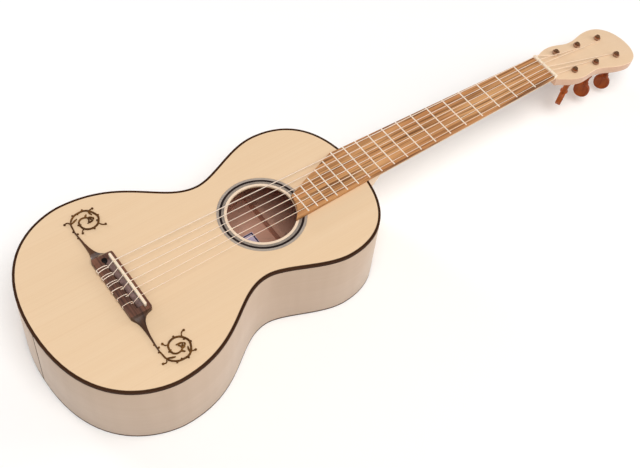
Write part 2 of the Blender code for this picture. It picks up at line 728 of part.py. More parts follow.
def make_neck():
    """Neck and heel are one piece of maple, trimmed to the curve of the ribs."""
    sections = []
    stations = 9
    end = NUT_REACH + NUT_WIDTH
    start = -NECK_INLET
    for station in range(stations):
        y = start + (end - start) * station / (stations - 1)
        share = max(0.0, 1 - y / NUT_REACH)
        depth = NECK_DEPTH_NUT + share * (NECK_DEPTH_HEEL - NECK_DEPTH_NUT)
        half = board_half_width(min(y, NUT_REACH))
        section = []
        arc_steps = 12
        for step in range(arc_steps + 1):
            angle = math.pi * step / arc_steps
            x = half * math.copysign(abs(math.cos(angle)) ** NECK_ROUNDNESS, math.cos(angle))
            section.append((x, y, -depth * math.sin(angle) ** NECK_ROUNDNESS))
        sections.append(section)
    neck = lofted("neck", sections)
    ride(neck, NECK_FRAME)
    high = BODY_DEPTH - NECK_DEPTH_HEEL * (1 - HEEL_TOP_SHARE)
    low = HEEL_LIFT
    heel_sections = []
    levels = 8
    for level in range(levels):
        share = level / (levels - 1)
        width = HEEL_FOOT_WIDTH + (HEEL_TOP_WIDTH - HEEL_FOOT_WIDTH) * share ** HEEL_WIDENING
        reach = HEEL_FOOT_REACH + (HEEL_TOP_REACH - HEEL_FOOT_REACH) * share ** HEEL_SWEEP
        heel_sections.append(heel_section(width, reach, low + (high - low) * share))
    heel = lofted("heel_form", heel_sections)
    boolean(neck, heel, "UNION")
    body = flat_solid("body_cut", [whole_outline(-GAP)], -GAP, BODY_DEPTH + HEAD_THICKNESS)
    boolean(neck, body, "DIFFERENCE")
    finish(neck, MAPLE, 0.35, angle=40)


def heel_section(width, reach, z):
    """Half round seen from above, its straight side inside the body's edge."""
    inside = BODY_TOP - HEEL_INLET
    section = [(width / 2, inside, z)]
    arc_steps = 12
    for step in range(arc_steps + 1):
        angle = math.pi * step / arc_steps
        forward = reach * math.sin(angle) ** HEEL_BLUNTNESS
        section.append((width / 2 * math.cos(angle), BODY_TOP + forward, z))
    section.append((-width / 2, inside, z))
    return section


def head_half():
    base = board_half_width(NUT_REACH)
    lower = (HEAD_LOWER_WIDTH / 2, HEAD_LOWER_AT)
    waist = (HEAD_WAIST_WIDTH / 2, HEAD_WAIST_AT)
    upper = (HEAD_UPPER_WIDTH / 2, HEAD_UPPER_AT)
    points = [(base, -HEAD_THICKNESS), (base, 0.0)]
    before, after = HEAD_LOWER_HANDLES
    points += bezier(points[-1], (base + HEAD_FLARE[0], HEAD_FLARE[1]), (lower[0], lower[1] - before),
                     lower, 7)
    low, high = HEAD_WAIST_HANDLES
    points += bezier(lower, (lower[0], lower[1] + after), (waist[0], waist[1] - low), waist, 6)
    before, after = HEAD_UPPER_HANDLES
    points += bezier(waist, (waist[0], waist[1] + high), (upper[0], upper[1] - before), upper, 7)
    points += bezier(upper, (upper[0], upper[1] + after), (upper[0] * HEAD_CROWN_SHARE, HEAD_LENGTH),
                     (0, HEAD_LENGTH), 8)
    return points


def peg_places():
    """Side, distance across and distance from the nut of each peg, in the order of the strings."""
    rows = []
    for number in range(3):
        rows.append((-1, -PEG_ROW_SPACING / 2, PEG_FIRST_AT + number * PEG_SPACING))
    for number in (2, 1, 0):
        rows.append((1, PEG_ROW_SPACING / 2, PEG_FIRST_AT + number * PEG_SPACING))
    return rows


def make_head():
    half = head_half()
    outline = half + [(-x, y) for x, y in reversed(half[:-1])]
    head = flat_solid("headstock", [outline], -HEAD_THICKNESS, 0)
    ride(head, HEAD_FRAME)
    joint = NUT_REACH + NUT_WIDTH + GAP
    wide = HEAD_UPPER_WIDTH
    side = [(joint, HEAD_THICKNESS), (joint, -HEAD_THICKNESS * 3), (0, -HEAD_THICKNESS * 3),
            (0, HEAD_THICKNESS)]
    neck_side = flat_solid("neck_side_cut", [side], -wide, wide, plane="YZ")
    ride(neck_side, NECK_FRAME)
    boolean(head, neck_side, "DIFFERENCE")
    holes = []
    past = HEAD_THICKNESS * 0.5
    for _, x, y in peg_places():
        holes.append(cylinder("hole", PEG_SHAFT_RADIUS + PEG_CLEARANCE, -HEAD_THICKNESS - past, past,
                              (x, y), 20))
    holes = join_solids("peg_holes_cut", holes)
    ride(holes, HEAD_FRAME)
    boolean(head, holes, "DIFFERENCE")
    finish(head, MAPLE, 0.35)


def make_peg(index, side, x, y):
    """A turned peg: its shaft rises through the head, its button hangs below."""
    name = f"peg_{index + 1}"
    under = -HEAD_THICKNESS - GAP
    shaft = PEG_SHAFT_RADIUS
    collar = PEG_COLLAR_RADIUS
    button_top = -PEG_BUTTON_AT + PEG_BUTTON_RADIUS * 0.72
    profile = [
        (0, PEG_TIP_HEIGHT), (shaft * 0.75, PEG_TIP_HEIGHT), (shaft, PEG_TIP_HEIGHT - PEG_TIP_ROUND),
        (shaft, under), (collar, under), (collar * 1.08, under - 0.0016), (collar * 0.82, under - 0.0032),
        (shaft * 1.05, under - 0.0046), (shaft * 1.05, under - 0.0086), (shaft * 1.35, under - 0.0104),
        (shaft * 0.9, under - 0.0128), (shaft * 0.95, button_top - 0.004), (0, button_top - 0.006),
    ]
    peg = turned(name, profile, 14)
    half = PEG_BUTTON_THICKNESS / 2
    rim = PEG_BUTTON_RADIUS
    button_profile = [(0, half * 0.82), (rim * 0.62, half), (rim * 0.93, half * 0.62), (rim, 0),
                      (rim * 0.93, -half * 0.62), (rim * 0.62, -half), (0, -half * 0.82)]
    button = turned(name + "_button_form", button_profile, 16)
    button.rotation_euler = (math.pi / 2, 0, math.radians(PEG_TURNS[index]))
    button.location = (0, 0, -PEG_BUTTON_AT)
    boolean(peg, button, "UNION")
    peg.location = (x, y, 0)
    button.parent = peg
    ride(peg, HEAD_FRAME)
    finish(peg, PEG_RED, 0.25, angle=45)


# Bridge, saddle and ornaments

def behind(distance):
    """World place along Y of a distance behind the bridge's front edge."""
    return BRIDGE_FRONT - distance


def bridge_outline():
    """The block with a hollow curved wing at each end, drawn as distances behind the front edge."""
    half = BRIDGE_LENGTH / 2
    corner = BRIDGE_CORNER
    tip = BRIDGE_TIP_AT
    treble = [(half - corner, 0), (half - corner * 0.3, corner * 0.3), (half, corner)]
    treble += bezier(treble[-1], (half + WING_FRONT[0], WING_FRONT[1]), (half + WING_FRONT[2], WING_FRONT[3]),
                     (BRIDGE_WING_REACH, tip - BRIDGE_TIP_WIDTH / 2), 9)
    back_start = (BRIDGE_WING_REACH, tip + BRIDGE_TIP_WIDTH / 2)
    treble.append(back_start)
    treble += bezier(back_start, (half + WING_BACK[0], WING_BACK[1]), (half + WING_BACK[2], WING_BACK[3]),
                     (half + corner * 0.7, BRIDGE_WIDTH - corner * 0.5), 9)
    treble.append((half - corner * 0.5, BRIDGE_WIDTH))
    bass = [(-x, d) for x, d in reversed(treble)]
    return [(x, behind(d)) for x, d in treble + bass]


def make_bridge():
    seat = BODY_DEPTH + GAP
    bridge = flat_solid("bridge", [bridge_outline()], seat, seat + BRIDGE_HEIGHT)
    half = BRIDGE_LENGTH / 2
    slope = bezier((half, BRIDGE_HEIGHT), (half + WING_SLOPE[0], BRIDGE_HEIGHT * WING_SLOPE[1]),
                   (half + WING_SLOPE[2], BRIDGE_TIP_HEIGHT * WING_SLOPE[3]),
                   (BRIDGE_WING_REACH + GAP, BRIDGE_TIP_HEIGHT), 7)
    right = [(half, BRIDGE_HEIGHT)] + slope
    high = BRIDGE_HEIGHT * 2
    over = [(x, seat + z) for x, z in right]
    over += [(right[-1][0], seat + high), (half, seat + high)]
    wing_cuts = []
    for word, side in (("bass", -1), ("treble", 1)):
        outline = [(side * x, z) for x, z in over]
        wing_cuts.append(flat_solid("wing_" + word, [outline], behind(BRIDGE_WIDTH * 1.5),
                                    behind(-BRIDGE_WIDTH * 0.5), plane="XZ"))
    boolean(bridge, join_solids("bridge_wings_cut", wing_cuts), "DIFFERENCE")
    top = seat + BRIDGE_HEIGHT
    channel = [(behind(RAMP_START), top + GAP), (behind(RAMP_START), top - GAP),
               (behind(CHANNEL_START), seat + RAMP_FOOT_HEIGHT), (behind(CHANNEL_START), seat + CHANNEL_HEIGHT),
               (behind(TIE_BLOCK_START), seat + CHANNEL_HEIGHT), (behind(TIE_BLOCK_START), top + GAP)]
    reach = CHANNEL_HALF_LENGTH
    boolean(bridge, flat_solid("bridge_channel_cut", [channel], -reach, reach, plane="YZ"), "DIFFERENCE")
    end_hole = cylinder("channel_end_cut", CHANNEL_END_RADIUS, seat + CHANNEL_END_FLOOR, top + GAP,
                        (-reach, behind(CHANNEL_END_AT)))
    boolean(bridge, end_hole, "DIFFERENCE")
    middle = SADDLE_Y
    wide = SADDLE_WIDTH / 2 + GAP
    long = SADDLE_LENGTH / 2 + GAP
    slot = [(long, middle + wide), (-long, middle + wide), (-long, middle - wide), (long, middle - wide)]
    boolean(bridge, flat_solid("saddle_slot_cut", [slot], top - SADDLE_SEAT, top + GAP), "DIFFERENCE")
    holes = []
    for index, radius in enumerate(STRING_RADII):
        x = (index - 2.5) * STRING_SPACING_SADDLE
        holes.append(cylinder("tie_hole", radius + STRING_CLEARANCE * 1.5, behind(BRIDGE_WIDTH * 1.2),
                              behind((CHANNEL_START + TIE_BLOCK_START) / 2),
                              (x, seat + TIE_HOLE_HEIGHT), 8, across=True))
    boolean(bridge, join_solids("tie_holes_cut", holes), "DIFFERENCE")
    finish(bridge, ROSEWOOD, 0.35, angle=30)


def make_saddle():
    seat = BODY_DEPTH + GAP + BRIDGE_HEIGHT - SADDLE_SEAT + GAP
    top = BODY_DEPTH + GAP + BRIDGE_HEIGHT + SADDLE_RISE
    half = SADDLE_WIDTH / 2
    section = [(SADDLE_Y - half, seat), (SADDLE_Y + half, seat), (SADDLE_Y + half, top - half),
               (SADDLE_Y + half * 0.5, top), (SADDLE_Y - half * 0.5, top), (SADDLE_Y - half, top - half)]
    long = SADDLE_LENGTH / 2
    finish(flat_solid("saddle", [section], -long, long, plane="YZ"), CREAM, 0.4)


def smooth_route(route, steps):
    """Points on a smooth curve that passes through the route's own points."""
    padded = [route[0], *route, route[-1]]
    points = []
    for index in range(len(route) - 1):
        before, start, end, after = padded[index:index + 4]
        for step in range(steps):
            t = step / steps
            point = []
            for a, b, c, d in zip(before, start, end, after):
                bend = 2 * a - 5 * b + 4 * c - d
                point.append(b + 0.5 * t * (c - a + t * (bend + t * (3 * (b - c) + d - a))))
            points.append(tuple(point))
    points.append(route[-1])
    return points


def ribbon(route, half_widths):
    """Closed outline of a ribbon along a route, with a half width at each point."""
    left = []
    right = []
    for index, (x, y) in enumerate(route):
        before = route[max(index - 1, 0)]
        after = route[min(index + 1, len(route) - 1)]
        run = (after[0] - before[0], after[1] - before[1])
        length = math.hypot(*run)
        half = half_widths[index]
        left.append((x - half * run[1] / length, y + half * run[0] / length))
        right.append((x + half * run[1] / length, y - half * run[0] / length))
    return left + list(reversed(right))


def place_scroll(points, side):
    return [(side * x, behind(d)) for x, d in points]


def make_scroll(word, side):
    """A flat carved vine that leaves the bridge's wing and curls up round a flower."""
    seat = BODY_DEPTH + GAP
    top = seat + SCROLL_THICKNESS
    route = smooth_route(VINE_ROUTE, 2)
    last = len(route) - 1
    widths = [VINE_HALF_WIDTH * (0.85 + 0.35 * math.sin(math.pi * index / last)) for index in range(last + 1)]
    vine = flat_solid("scroll_" + word, [place_scroll(ribbon(route, widths), side)], seat, top)
    details = []
    for number, hook in enumerate(HOOK_ROUTES):
        line = smooth_route(hook, 2)
        halves = [HOOK_HALF_WIDTH] * len(line)
        details.append(flat_solid(f"hook_{number}", [place_scroll(ribbon(line, halves), side)],
                                  seat + GAP * 0.2, top - GAP * 0.5))
        x, d = hook[-1]
        details.append(cylinder(f"hook_ball_{number}", HOOK_BALL_RADIUS, seat + GAP * 0.1, top - GAP * 0.3,
                                (side * x, behind(d)), 7))
    for number, (x, d, radius) in enumerate(FLOWER_LOBES):
        lift = GAP * 0.05 * (number + 1)
        details.append(cylinder(f"lobe_{number}", radius, seat + lift, top + lift * 3,
                                (side * x, behind(d)), 9))
    for number, share in enumerate(BUD_PLACES):
        index = round(share * last)
        x, d = route[index]
        run = (route[index + 1][0] - route[index - 1][0], route[index + 1][1] - route[index - 1][1])
        length = math.hypot(*run)
        turn = 1 if number % 2 else -1
        away = VINE_HALF_WIDTH + BUD_RADIUS * 0.4
        bud_x = x + turn * away * run[1] / length
        bud_d = d - turn * away * run[0] / length
        details.append(cylinder(f"bud_{number}", BUD_RADIUS, seat + GAP * 0.4, top - GAP,
                                (side * bud_x, behind(bud_d)), 5))
    for detail in details:
        detail.name = f"scroll_{word}_{detail.name}"
        boolean(vine, detail, "UNION")
    finish(vine, ROSEWOOD, 0.4)


# Strings: whole cords from the tie block to the pegs

def over_edge(x, edge, top, off, turn):
    """Quarter turn round an edge along X, from above it (turn 0) to beside it (turn 1 or -1)."""
    points = []
    for step in range(3):
        angle = math.pi / 4 * step
        points.append((x, edge + turn * off * math.sin(angle), top + off * math.cos(angle)))
    return points


def knot_points(x, radius, doubled):
    """From the free end, round the string itself and out through the hole at the back."""
    seat = BODY_DEPTH + GAP
    top = seat + BRIDGE_HEIGHT
    off = radius + STRING_CLEARANCE
    under = seat + CHANNEL_HEIGHT + off
    hole = seat + TIE_HOLE_HEIGHT
    front_edge = behind(TIE_BLOCK_START)
    front = front_edge + off
    back_edge = behind(BRIDGE_WIDTH)
    near = 2 * radius + WINDING_GAP
    wide = near + WINDING_GAP
    if doubled:
        points = [(x + wide, back_edge - off, top - KNOT_TAIL)]
        points += reversed(over_edge(x + wide, back_edge, top, off, -1))
    else:
        points = [(x + near, front_edge - KNOT_TAIL, top + off)]
    points += over_edge(x + near, front_edge, top, off, 1)
    points += [
        (x + near, front, under + KNOT_BEND), (x + near - KNOT_BEND, front, under),
        (x - near + KNOT_BEND, front, under), (x - near, front, under + KNOT_BEND),
    ]
    points += reversed(over_edge(x - near, front_edge, top, off, 1))
    points += over_edge(x - wide, back_edge, top, off, -1)
    points += [(x, back_edge - off, hole + KNOT_BEND), (x, back_edge - STRING_CLEARANCE / 2, hole),
               (x, front_edge, hole)]
    return points


def string_points(index):
    radius = STRING_RADII[index]
    x = (index - 2.5) * STRING_SPACING_SADDLE
    saddle_top = BODY_DEPTH + GAP + BRIDGE_HEIGHT + SADDLE_RISE + radius + STRING_CLEARANCE
    points = knot_points(x, radius, index < WOUND_STRINGS)
    points.append((x, SADDLE_Y - SADDLE_WIDTH / 2, saddle_top))
    points.append((x, SADDLE_Y + SADDLE_WIDTH / 2, saddle_top))
    neck = neck_matrix()
    head = head_matrix()
    nut_x = (index - 2.5) * STRING_SPACING_NUT
    nut_height = string_height_at_nut(radius)
    points.append(tuple(neck @ Vector((nut_x, NUT_REACH, nut_height))))
    leaves = neck @ Vector((nut_x, NUT_REACH + NUT_WIDTH, nut_height - GAP * 0.5))
    points.append(tuple(leaves))
    start = head.inverted() @ leaves
    side, peg_x, peg_y = peg_places()[index]
    turn_radius = PEG_SHAFT_RADIUS + STRING_CLEARANCE + radius
    low = radius + STRING_CLEARANCE
    climb = 2 * radius + WINDING_GAP
    angle = 0.0
    for _ in range(5):
        touch_x = peg_x - side * turn_radius * math.cos(angle)
        touch_y = peg_y + turn_radius * math.sin(angle)
        angle = math.atan2(side * (touch_x - start.x), touch_y - start.y)
    count = round(WINDING_TURNS * WINDING_STEPS)
    winding = []
    for step in range(count + 1):
        turned_by = 2 * math.pi * step / WINDING_STEPS
        reach = angle + turned_by
        point = (peg_x - side * turn_radius * math.cos(reach), peg_y + turn_radius * math.sin(reach),
                 low + climb * turned_by / (2 * math.pi))
        winding.append(tuple(head @ Vector(point)))
    least_gap = climb * math.cos(math.atan(climb / (2 * math.pi * turn_radius))) - 2 * radius
    print(f"string_{index + 1}: least gap between turns {least_gap * 1000:.3f} mm")
    return points + winding


def make_string(index):
    points = string_points(index)
    name = f"string_{index + 1}"
    curve = bpy.data.curves.new(name, "CURVE")
    curve.dimensions = "3D"
    curve.bevel_depth = STRING_RADII[index]
    curve.bevel_resolution = 1
    curve.use_fill_caps = True
    spline = curve.splines.new("POLY")
    spline.points.add(len(points) - 1)
    for point, place in zip(spline.points, points):
        point.co = (*place, 1)
    obj = bpy.data.objects.new(name, curve)
    PARTS.objects.link(obj)
    wound = index < WOUND_STRINGS
    colour = (0.75, 0.72, 0.68) if wound else (0.85, 0.80, 0.70)
    curve.materials.append(make_material(name, colour, 0.35, 0.8 if wound else 0.0))


def neck_matrix():
    place = Matrix.Translation((0, BODY_TOP, BODY_DEPTH))
    return place @ Matrix.Rotation(-NECK_PITCH, 4, "X")


def head_matrix():
    place = Matrix.Translation((0, NUT_REACH + NUT_WIDTH + GAP, -HEAD_DROP))
    return neck_matrix() @ place @ Matrix.Rotation(-HEAD_TILT, 4, "X")


def make_frame(name, matrix):
    empty = bpy.data.objects.new(name, None)
    empty.matrix_world = matrix
    PARTS.objects.link(empty)
    return empty


clear_scene()
PARTS = make_collection("romantic_guitar")
CUTTERS = make_collection("cutters")
NECK_FRAME = make_frame("neck_frame", neck_matrix())
HEAD_FRAME = make_frame("head_frame", head_matrix())
bpy.context.view_layer.update()
make_soundboard()
make_rosette()
make_back()
make_ribs()
make_bindings()
make_linings()
make_blocks()
make_inside()
make_neck()
make_fingerboard()
make_frets()
make_nut()
make_head()
for peg_index, (peg_side, peg_x, peg_y) in enumerate(peg_places()):
    make_peg(peg_index, peg_side, peg_x, peg_y)
make_bridge()
make_saddle()
make_scroll("bass", -1)
make_scroll("treble", 1)
for string_index in range(len(STRING_RADII)):
    make_string(string_index)
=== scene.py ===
# Romantic guitar lying face up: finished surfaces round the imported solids.
import math
import bmesh
import bpy
from mathutils import Matrix, Vector


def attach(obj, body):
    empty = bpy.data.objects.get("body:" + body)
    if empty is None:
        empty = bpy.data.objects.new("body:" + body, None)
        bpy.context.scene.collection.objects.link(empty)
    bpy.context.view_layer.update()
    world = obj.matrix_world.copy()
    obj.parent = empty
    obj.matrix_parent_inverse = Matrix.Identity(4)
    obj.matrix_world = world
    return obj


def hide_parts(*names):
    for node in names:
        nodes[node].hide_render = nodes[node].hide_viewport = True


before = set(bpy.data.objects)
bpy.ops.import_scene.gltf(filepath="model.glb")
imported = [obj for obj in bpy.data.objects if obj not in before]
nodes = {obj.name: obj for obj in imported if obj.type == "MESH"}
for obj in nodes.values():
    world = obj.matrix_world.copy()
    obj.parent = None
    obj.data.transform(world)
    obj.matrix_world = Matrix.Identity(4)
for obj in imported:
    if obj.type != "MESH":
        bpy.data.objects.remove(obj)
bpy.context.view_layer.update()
print("frame loaded:", len(nodes), "nodes")


# Camera, lights and floor

camera = {
    "place": (0.60828, -0.37832, 1.12540),
    "right": (0.58551, 0.80688, 0.07819),
    "up": (-0.68458, 0.44049, 0.58079),
    "back": (0.43419, -0.39359, 0.81029),
    "lens": 61.42, "sensor": 36.0,    # millimetres
    "near": 0.05, "far": 50.0,
}
studio = {
    # name, place, aimed at, size, power, colour
    "lights": (
        ("keyLight", (1.10, -0.31, 2.81), (0.0, 0.1, 0.05), 1.9, 58.5, (1.0, 0.985, 0.96)),
        ("fillLight", (1.0, 2.2, 0.9), (0.0, 0.0, 0.05), 1.4, 19.0, (1.0, 0.98, 0.96)),
        ("rimLight", (-2.2, -0.6, 0.45), (0.0, 0.0, 0.05), 1.0, 30.0, (0.98, 0.97, 1.0)),
    ),
    "world": (1.0, 0.99, 0.98), "worldStrength": 0.38,
    "floorHalf": 20.0, "floor": (0.96, 0.96, 0.96), "floorRoughness": 0.9,
}


def addToScene(name, data):
    obj = bpy.data.objects.new(name, data)
    bpy.context.scene.collection.objects.link(obj)
    return obj


def makeCamera(look):
    data = bpy.data.cameras.new("camera")
    data.lens = look["lens"]
    data.sensor_width = look["sensor"]
    data.sensor_fit = "HORIZONTAL"
    data.clip_start = look["near"]
    data.clip_end = look["far"]
    obj = addToScene("camera", data)
    turn = Matrix((look["right"], look["up"], look["back"])).transposed().to_4x4()
    obj.matrix_world = Matrix.Translation(look["place"]) @ turn
    bpy.context.scene.camera = obj


def makeStudio(look):
    for name, place, aim, size, power, colour in look["lights"]:
        data = bpy.data.lights.new(name, "AREA")
        data.shape = "DISK"
        data.size = size
        data.energy = power
        data.color = colour
        turn = (Vector(aim) - Vector(place)).to_track_quat("-Z", "Y").to_matrix().to_4x4()
        addToScene(name, data).matrix_world = Matrix.Translation(place) @ turn
    world = bpy.data.worlds.new("studio")
    world.use_nodes = True
    sky = world.node_tree.nodes["Background"]
    sky.inputs["Color"].default_value = (*look["world"], 1.0)
    sky.inputs["Strength"].default_value = look["worldStrength"]
    bpy.context.scene.world = world
    bm = bmesh.new()
    bmesh.ops.create_grid(bm, x_segments=1, y_segments=1, size=look["floorHalf"])
    mesh = bpy.data.meshes.new("studioFloor")
    bm.to_mesh(mesh)
    bm.free()
    material = bpy.data.materials.new("studioFloor")
    material.use_nodes = True
    shader = material.node_tree.nodes["Principled BSDF"]
    shader.inputs["Base Color"].default_value = (*look["floor"], 1.0)
    shader.inputs["Roughness"].default_value = look["floorRoughness"]
    mesh.materials.append(material)
    addToScene("studioFloor", mesh)


makeCamera(camera)
makeStudio(studio)
bpy.context.scene.view_settings.view_transform = "Standard"    # so that colours show as they are set
print("camera, lights and floor are in place")


# Shader groups

def newGroup(name, inputs, outputs):
    group = bpy.data.node_groups.new(name, "ShaderNodeTree")
    for socket, kind, value in inputs:
        made = group.interface.new_socket(name=socket, in_out="INPUT", socket_type=kind)
        if value is not None:
            made.default_value = value
    for socket in outputs:
        group.interface.new_socket(name=socket, in_out="OUTPUT", socket_type="NodeSocketFloat")
    return group, group.nodes.new("NodeGroupInput"), group.nodes.new("NodeGroupOutput")


def mathNode(tree, operation, first, second=None):
    node = tree.nodes.new("ShaderNodeMath")
    node.operation = operation
    for index, value in enumerate((first, second)):
        if isinstance(value, bpy.types.NodeSocket):
            tree.links.new(value, node.inputs[index])
        elif value is not None:
            node.inputs[index].default_value = value
    return node.outputs[0]


def noiseNode(tree, vector, scale, detail):
    node = tree.nodes.new("ShaderNodeTexNoise")
    node.inputs["Scale"].default_value = scale
    node.inputs["Detail"].default_value = detail
    tree.links.new(vector, node.inputs["Vector"])
    return node.outputs["Fac"]


def joinXyz(tree, x, y, z):
    node = tree.nodes.new("ShaderNodeCombineXYZ")
    for index, value in enumerate((x, y, z)):
        tree.links.new(value, node.inputs[index])
    return node.outputs[0]


grainPattern = {
    # name, scale across the grain, scale along it and detail of each part
    "parts": (("Line", 1.0, 1.0, 2.0), ("Streak", 0.11, 0.6, 3.0), ("Pore", 3.0, 14.0, 2.0)),
    "deep": 0.3, "wanderScale": 5.0, "wanderDetail": 2.0,
    "figureAcross": 14.0, "figureScale": 0.55, "figureDetail": 1.5,
}


def makeGrainGroup(look):
    # the grain runs along Y of the vector; spacing, length and wander are in metres
    group, entry, result = newGroup("woodGrain", (
        ("Vector", "NodeSocketVector", None), ("Spacing", "NodeSocketFloat", 0.0015),
        ("Length", "NodeSocketFloat", 0.15), ("Wander", "NodeSocketFloat", 0.004),
    ), [part[0] for part in look["parts"]])
    vector = entry.outputs["Vector"]
    cloud = noiseNode(group, vector, look["wanderScale"], look["wanderDetail"])
    slow = mathNode(group, "SUBTRACT", cloud, 0.5)
    split = group.nodes.new("ShaderNodeSeparateXYZ")
    group.links.new(vector, split.inputs[0])
    bend = mathNode(group, "MULTIPLY", slow, entry.outputs["Wander"])
    shifted = mathNode(group, "ADD", split.outputs[0], bend)
    across = mathNode(group, "DIVIDE", shifted, entry.outputs["Spacing"])
    along = mathNode(group, "DIVIDE", split.outputs[1], entry.outputs["Length"])
    deep = mathNode(group, "DIVIDE", split.outputs[2], entry.outputs["Spacing"])
    for name, acrossScale, alongScale, detail in look["parts"]:
        stretched = joinXyz(group, mathNode(group, "MULTIPLY", across, acrossScale),
                            mathNode(group, "MULTIPLY", along, alongScale),
                            mathNode(group, "MULTIPLY", deep, acrossScale * look["deep"]))
        group.links.new(noiseNode(group, stretched, 1.0, detail), result.inputs[name])
    return group


def makeFigureGroup(look):
    # soft bands of light and shade that lie across the grain, as in maple
    group, entry, result = newGroup("crossFigure", (
        ("Vector", "NodeSocketVector", None), ("Band", "NodeSocketFloat", 0.008),
    ), ("Figure",))
    split = group.nodes.new("ShaderNodeSeparateXYZ")
    group.links.new(entry.outputs["Vector"], split.inputs[0])
    stretched = joinXyz(group, mathNode(group, "MULTIPLY", split.outputs[0], look["figureAcross"]),
                        mathNode(group, "DIVIDE", split.outputs[1], entry.outputs["Band"]),
                        mathNode(group, "MULTIPLY", split.outputs[2], look["figureAcross"]))
    bands = noiseNode(group, stretched, look["figureScale"], look["figureDetail"])
    group.links.new(bands, result.inputs["Figure"])
    return group


grainGroup = makeGrainGroup(grainPattern)
figureGroup = makeFigureGroup(grainPattern)


# Materials

acrossBody = (0.0, 0.0, math.pi / 2)
standing = (math.pi / 2, 0.0, 0.0)
woodBase = {
    # grain spacing, length and wander in metres, then how strong each part of the pattern is
    "spacing": 0.0015, "length": 0.06, "wander": 0.006, "line": 0.8, "lineTo": 0.75, "streakMix": 0.8,
    "figure": 0.0, "band": 0.02, "roughness": 0.36, "glossVary": (-0.05, 0.07), "coat": 0.0,
    "coatRoughness": 0.18, "bump": 0.2, "bumpDepth": 0.0002, "specular": 0.5,
    "source": "Object", "turn": (0.0, 0.0, 0.0),
}
spruce = {"wander": 0.004, "streakMix": 0.5, "band": 0.03}
maple = {"spacing": 0.0022, "length": 0.30, "wander": 0.010, "line": 0.20, "streakMix": 0.4,
         "band": 0.009, "bump": 0.08}
neckStock = {**maple, "length": 0.25, "figure": 0.16, "band": 0.010, "roughness": 0.42, "coat": 0.12}
woods = {
    # what differs from the base, with pale, dark and streak colours
    "spruceTop": {
        **spruce, "pale": (0.775, 0.560, 0.355), "dark": (0.700, 0.475, 0.275),
        "streak": (0.795, 0.590, 0.385), "spacing": 0.0011, "length": 0.35, "line": 0.30,
        "figure": 0.05, "roughness": 0.46, "coat": 0.12, "bump": 0.08,
    },
    "innerSpruce": {
        **spruce, "pale": (0.64, 0.35, 0.25), "dark": (0.50, 0.25, 0.16), "streak": (0.68, 0.40, 0.30),
        "spacing": 0.0013, "length": 0.20, "line": 0.7, "roughness": 0.75, "bump": 0.4, "specular": 0.2,
    },
    "innerMaple": {
        **maple, "pale": (0.710, 0.400, 0.290), "dark": (0.600, 0.320, 0.220),
        "streak": (0.750, 0.445, 0.330), "line": 0.25, "figure": 0.15, "roughness": 0.70, "bump": 0.2,
    },
    "ribMaple": {
        **maple, "pale": (0.560, 0.412, 0.300), "dark": (0.480, 0.336, 0.228),
        "streak": (0.600, 0.452, 0.340), "figure": 0.22, "roughness": 0.40, "coat": 0.08,
    },
    "neckMaple": {
        **neckStock, "pale": (0.790, 0.565, 0.365), "dark": (0.710, 0.480, 0.295),
        "streak": (0.815, 0.600, 0.405),
    },
    # painted shade: a darker, redder copy of the head's maple for its side faces
    "headSideShade": {
        **neckStock, "pale": (0.620, 0.380, 0.250), "dark": (0.540, 0.310, 0.200),
        "streak": (0.660, 0.430, 0.300),
    },
    "bindingWood": {
        "pale": (0.042, 0.014, 0.004), "dark": (0.018, 0.006, 0.002), "streak": (0.072, 0.028, 0.009),
        "spacing": 0.0012, "length": 0.10, "wander": 0.003, "line": 0.6, "streakMix": 0.5,
        "roughness": 0.60, "bump": 0.1, "specular": 0.1,
    },
    "fingerboardWood": {
        "pale": (0.490, 0.222, 0.084), "dark": (0.130, 0.048, 0.015), "streak": (0.660, 0.370, 0.165),
        "spacing": 0.0020, "length": 0.11, "wander": 0.008, "line": 0.95, "lineTo": 0.68,
        "roughness": 0.62, "bump": 0.3, "specular": 0.15,
    },
    "bridgeRosewood": {
        "pale": (0.105, 0.046, 0.030), "dark": (0.020, 0.008, 0.006), "streak": (0.270, 0.110, 0.062),
        "line": 0.85, "streakMix": 0.9, "bump": 0.3, "specular": 0.32, "turn": acrossBody,
    },
    "wingRosewood": {
        "pale": (0.050, 0.020, 0.009), "dark": (0.014, 0.005, 0.003), "streak": (0.120, 0.050, 0.020),
        "specular": 0.25, "turn": acrossBody,
    },
    "wingFacet": {
        "pale": (0.050, 0.022, 0.014), "dark": (0.014, 0.005, 0.004), "streak": (0.120, 0.055, 0.032),
        "roughness": 0.14, "coat": 1.0, "bump": 0.03, "specular": 0.9, "turn": acrossBody,
    },
    "scrollWood": {
        "pale": (0.078, 0.028, 0.004), "dark": (0.026, 0.008, 0.002), "streak": (0.210, 0.090, 0.018),
        "spacing": 0.0010, "length": 0.012, "wander": 0.003, "line": 0.5, "roughness": 0.65,
        "specular": 0.12,
    },
    "pegWood": {
        "pale": (0.240, 0.042, 0.005), "dark": (0.070, 0.011, 0.002), "streak": (0.400, 0.095, 0.014),
        "spacing": 0.0016, "length": 0.03, "line": 0.45, "streakMix": 0.6, "roughness": 0.38,
        "bump": 0.1, "specular": 0.18, "turn": standing,
    },
}
woods["ribMapleCurved"] = {**woods["ribMaple"], "source": "UV"}
woods["bindingCurved"] = {**woods["bindingWood"], "source": "UV"}
woods["barSpruce"] = {**woods["innerSpruce"], "turn": acrossBody}
plainBase = {
    "cloudScale": 80.0, "cloudDetail": 3.0, "fineScale": 1400.0, "fineDetail": 2.0,
    "roughness": 0.42, "glossVary": (-0.04, 0.08),
    "metallic": 0.0, "coat": 0.0, "specular": 0.5, "soft": 0.0, "softReach": (0.002, 0.0012, 0.0008),
    "bump": 0.06, "bumpDepth": 0.0001,
}
cord = {"cloudScale": 200.0, "fineScale": 1800.0, "roughness": 0.45, "bump": 0.05}
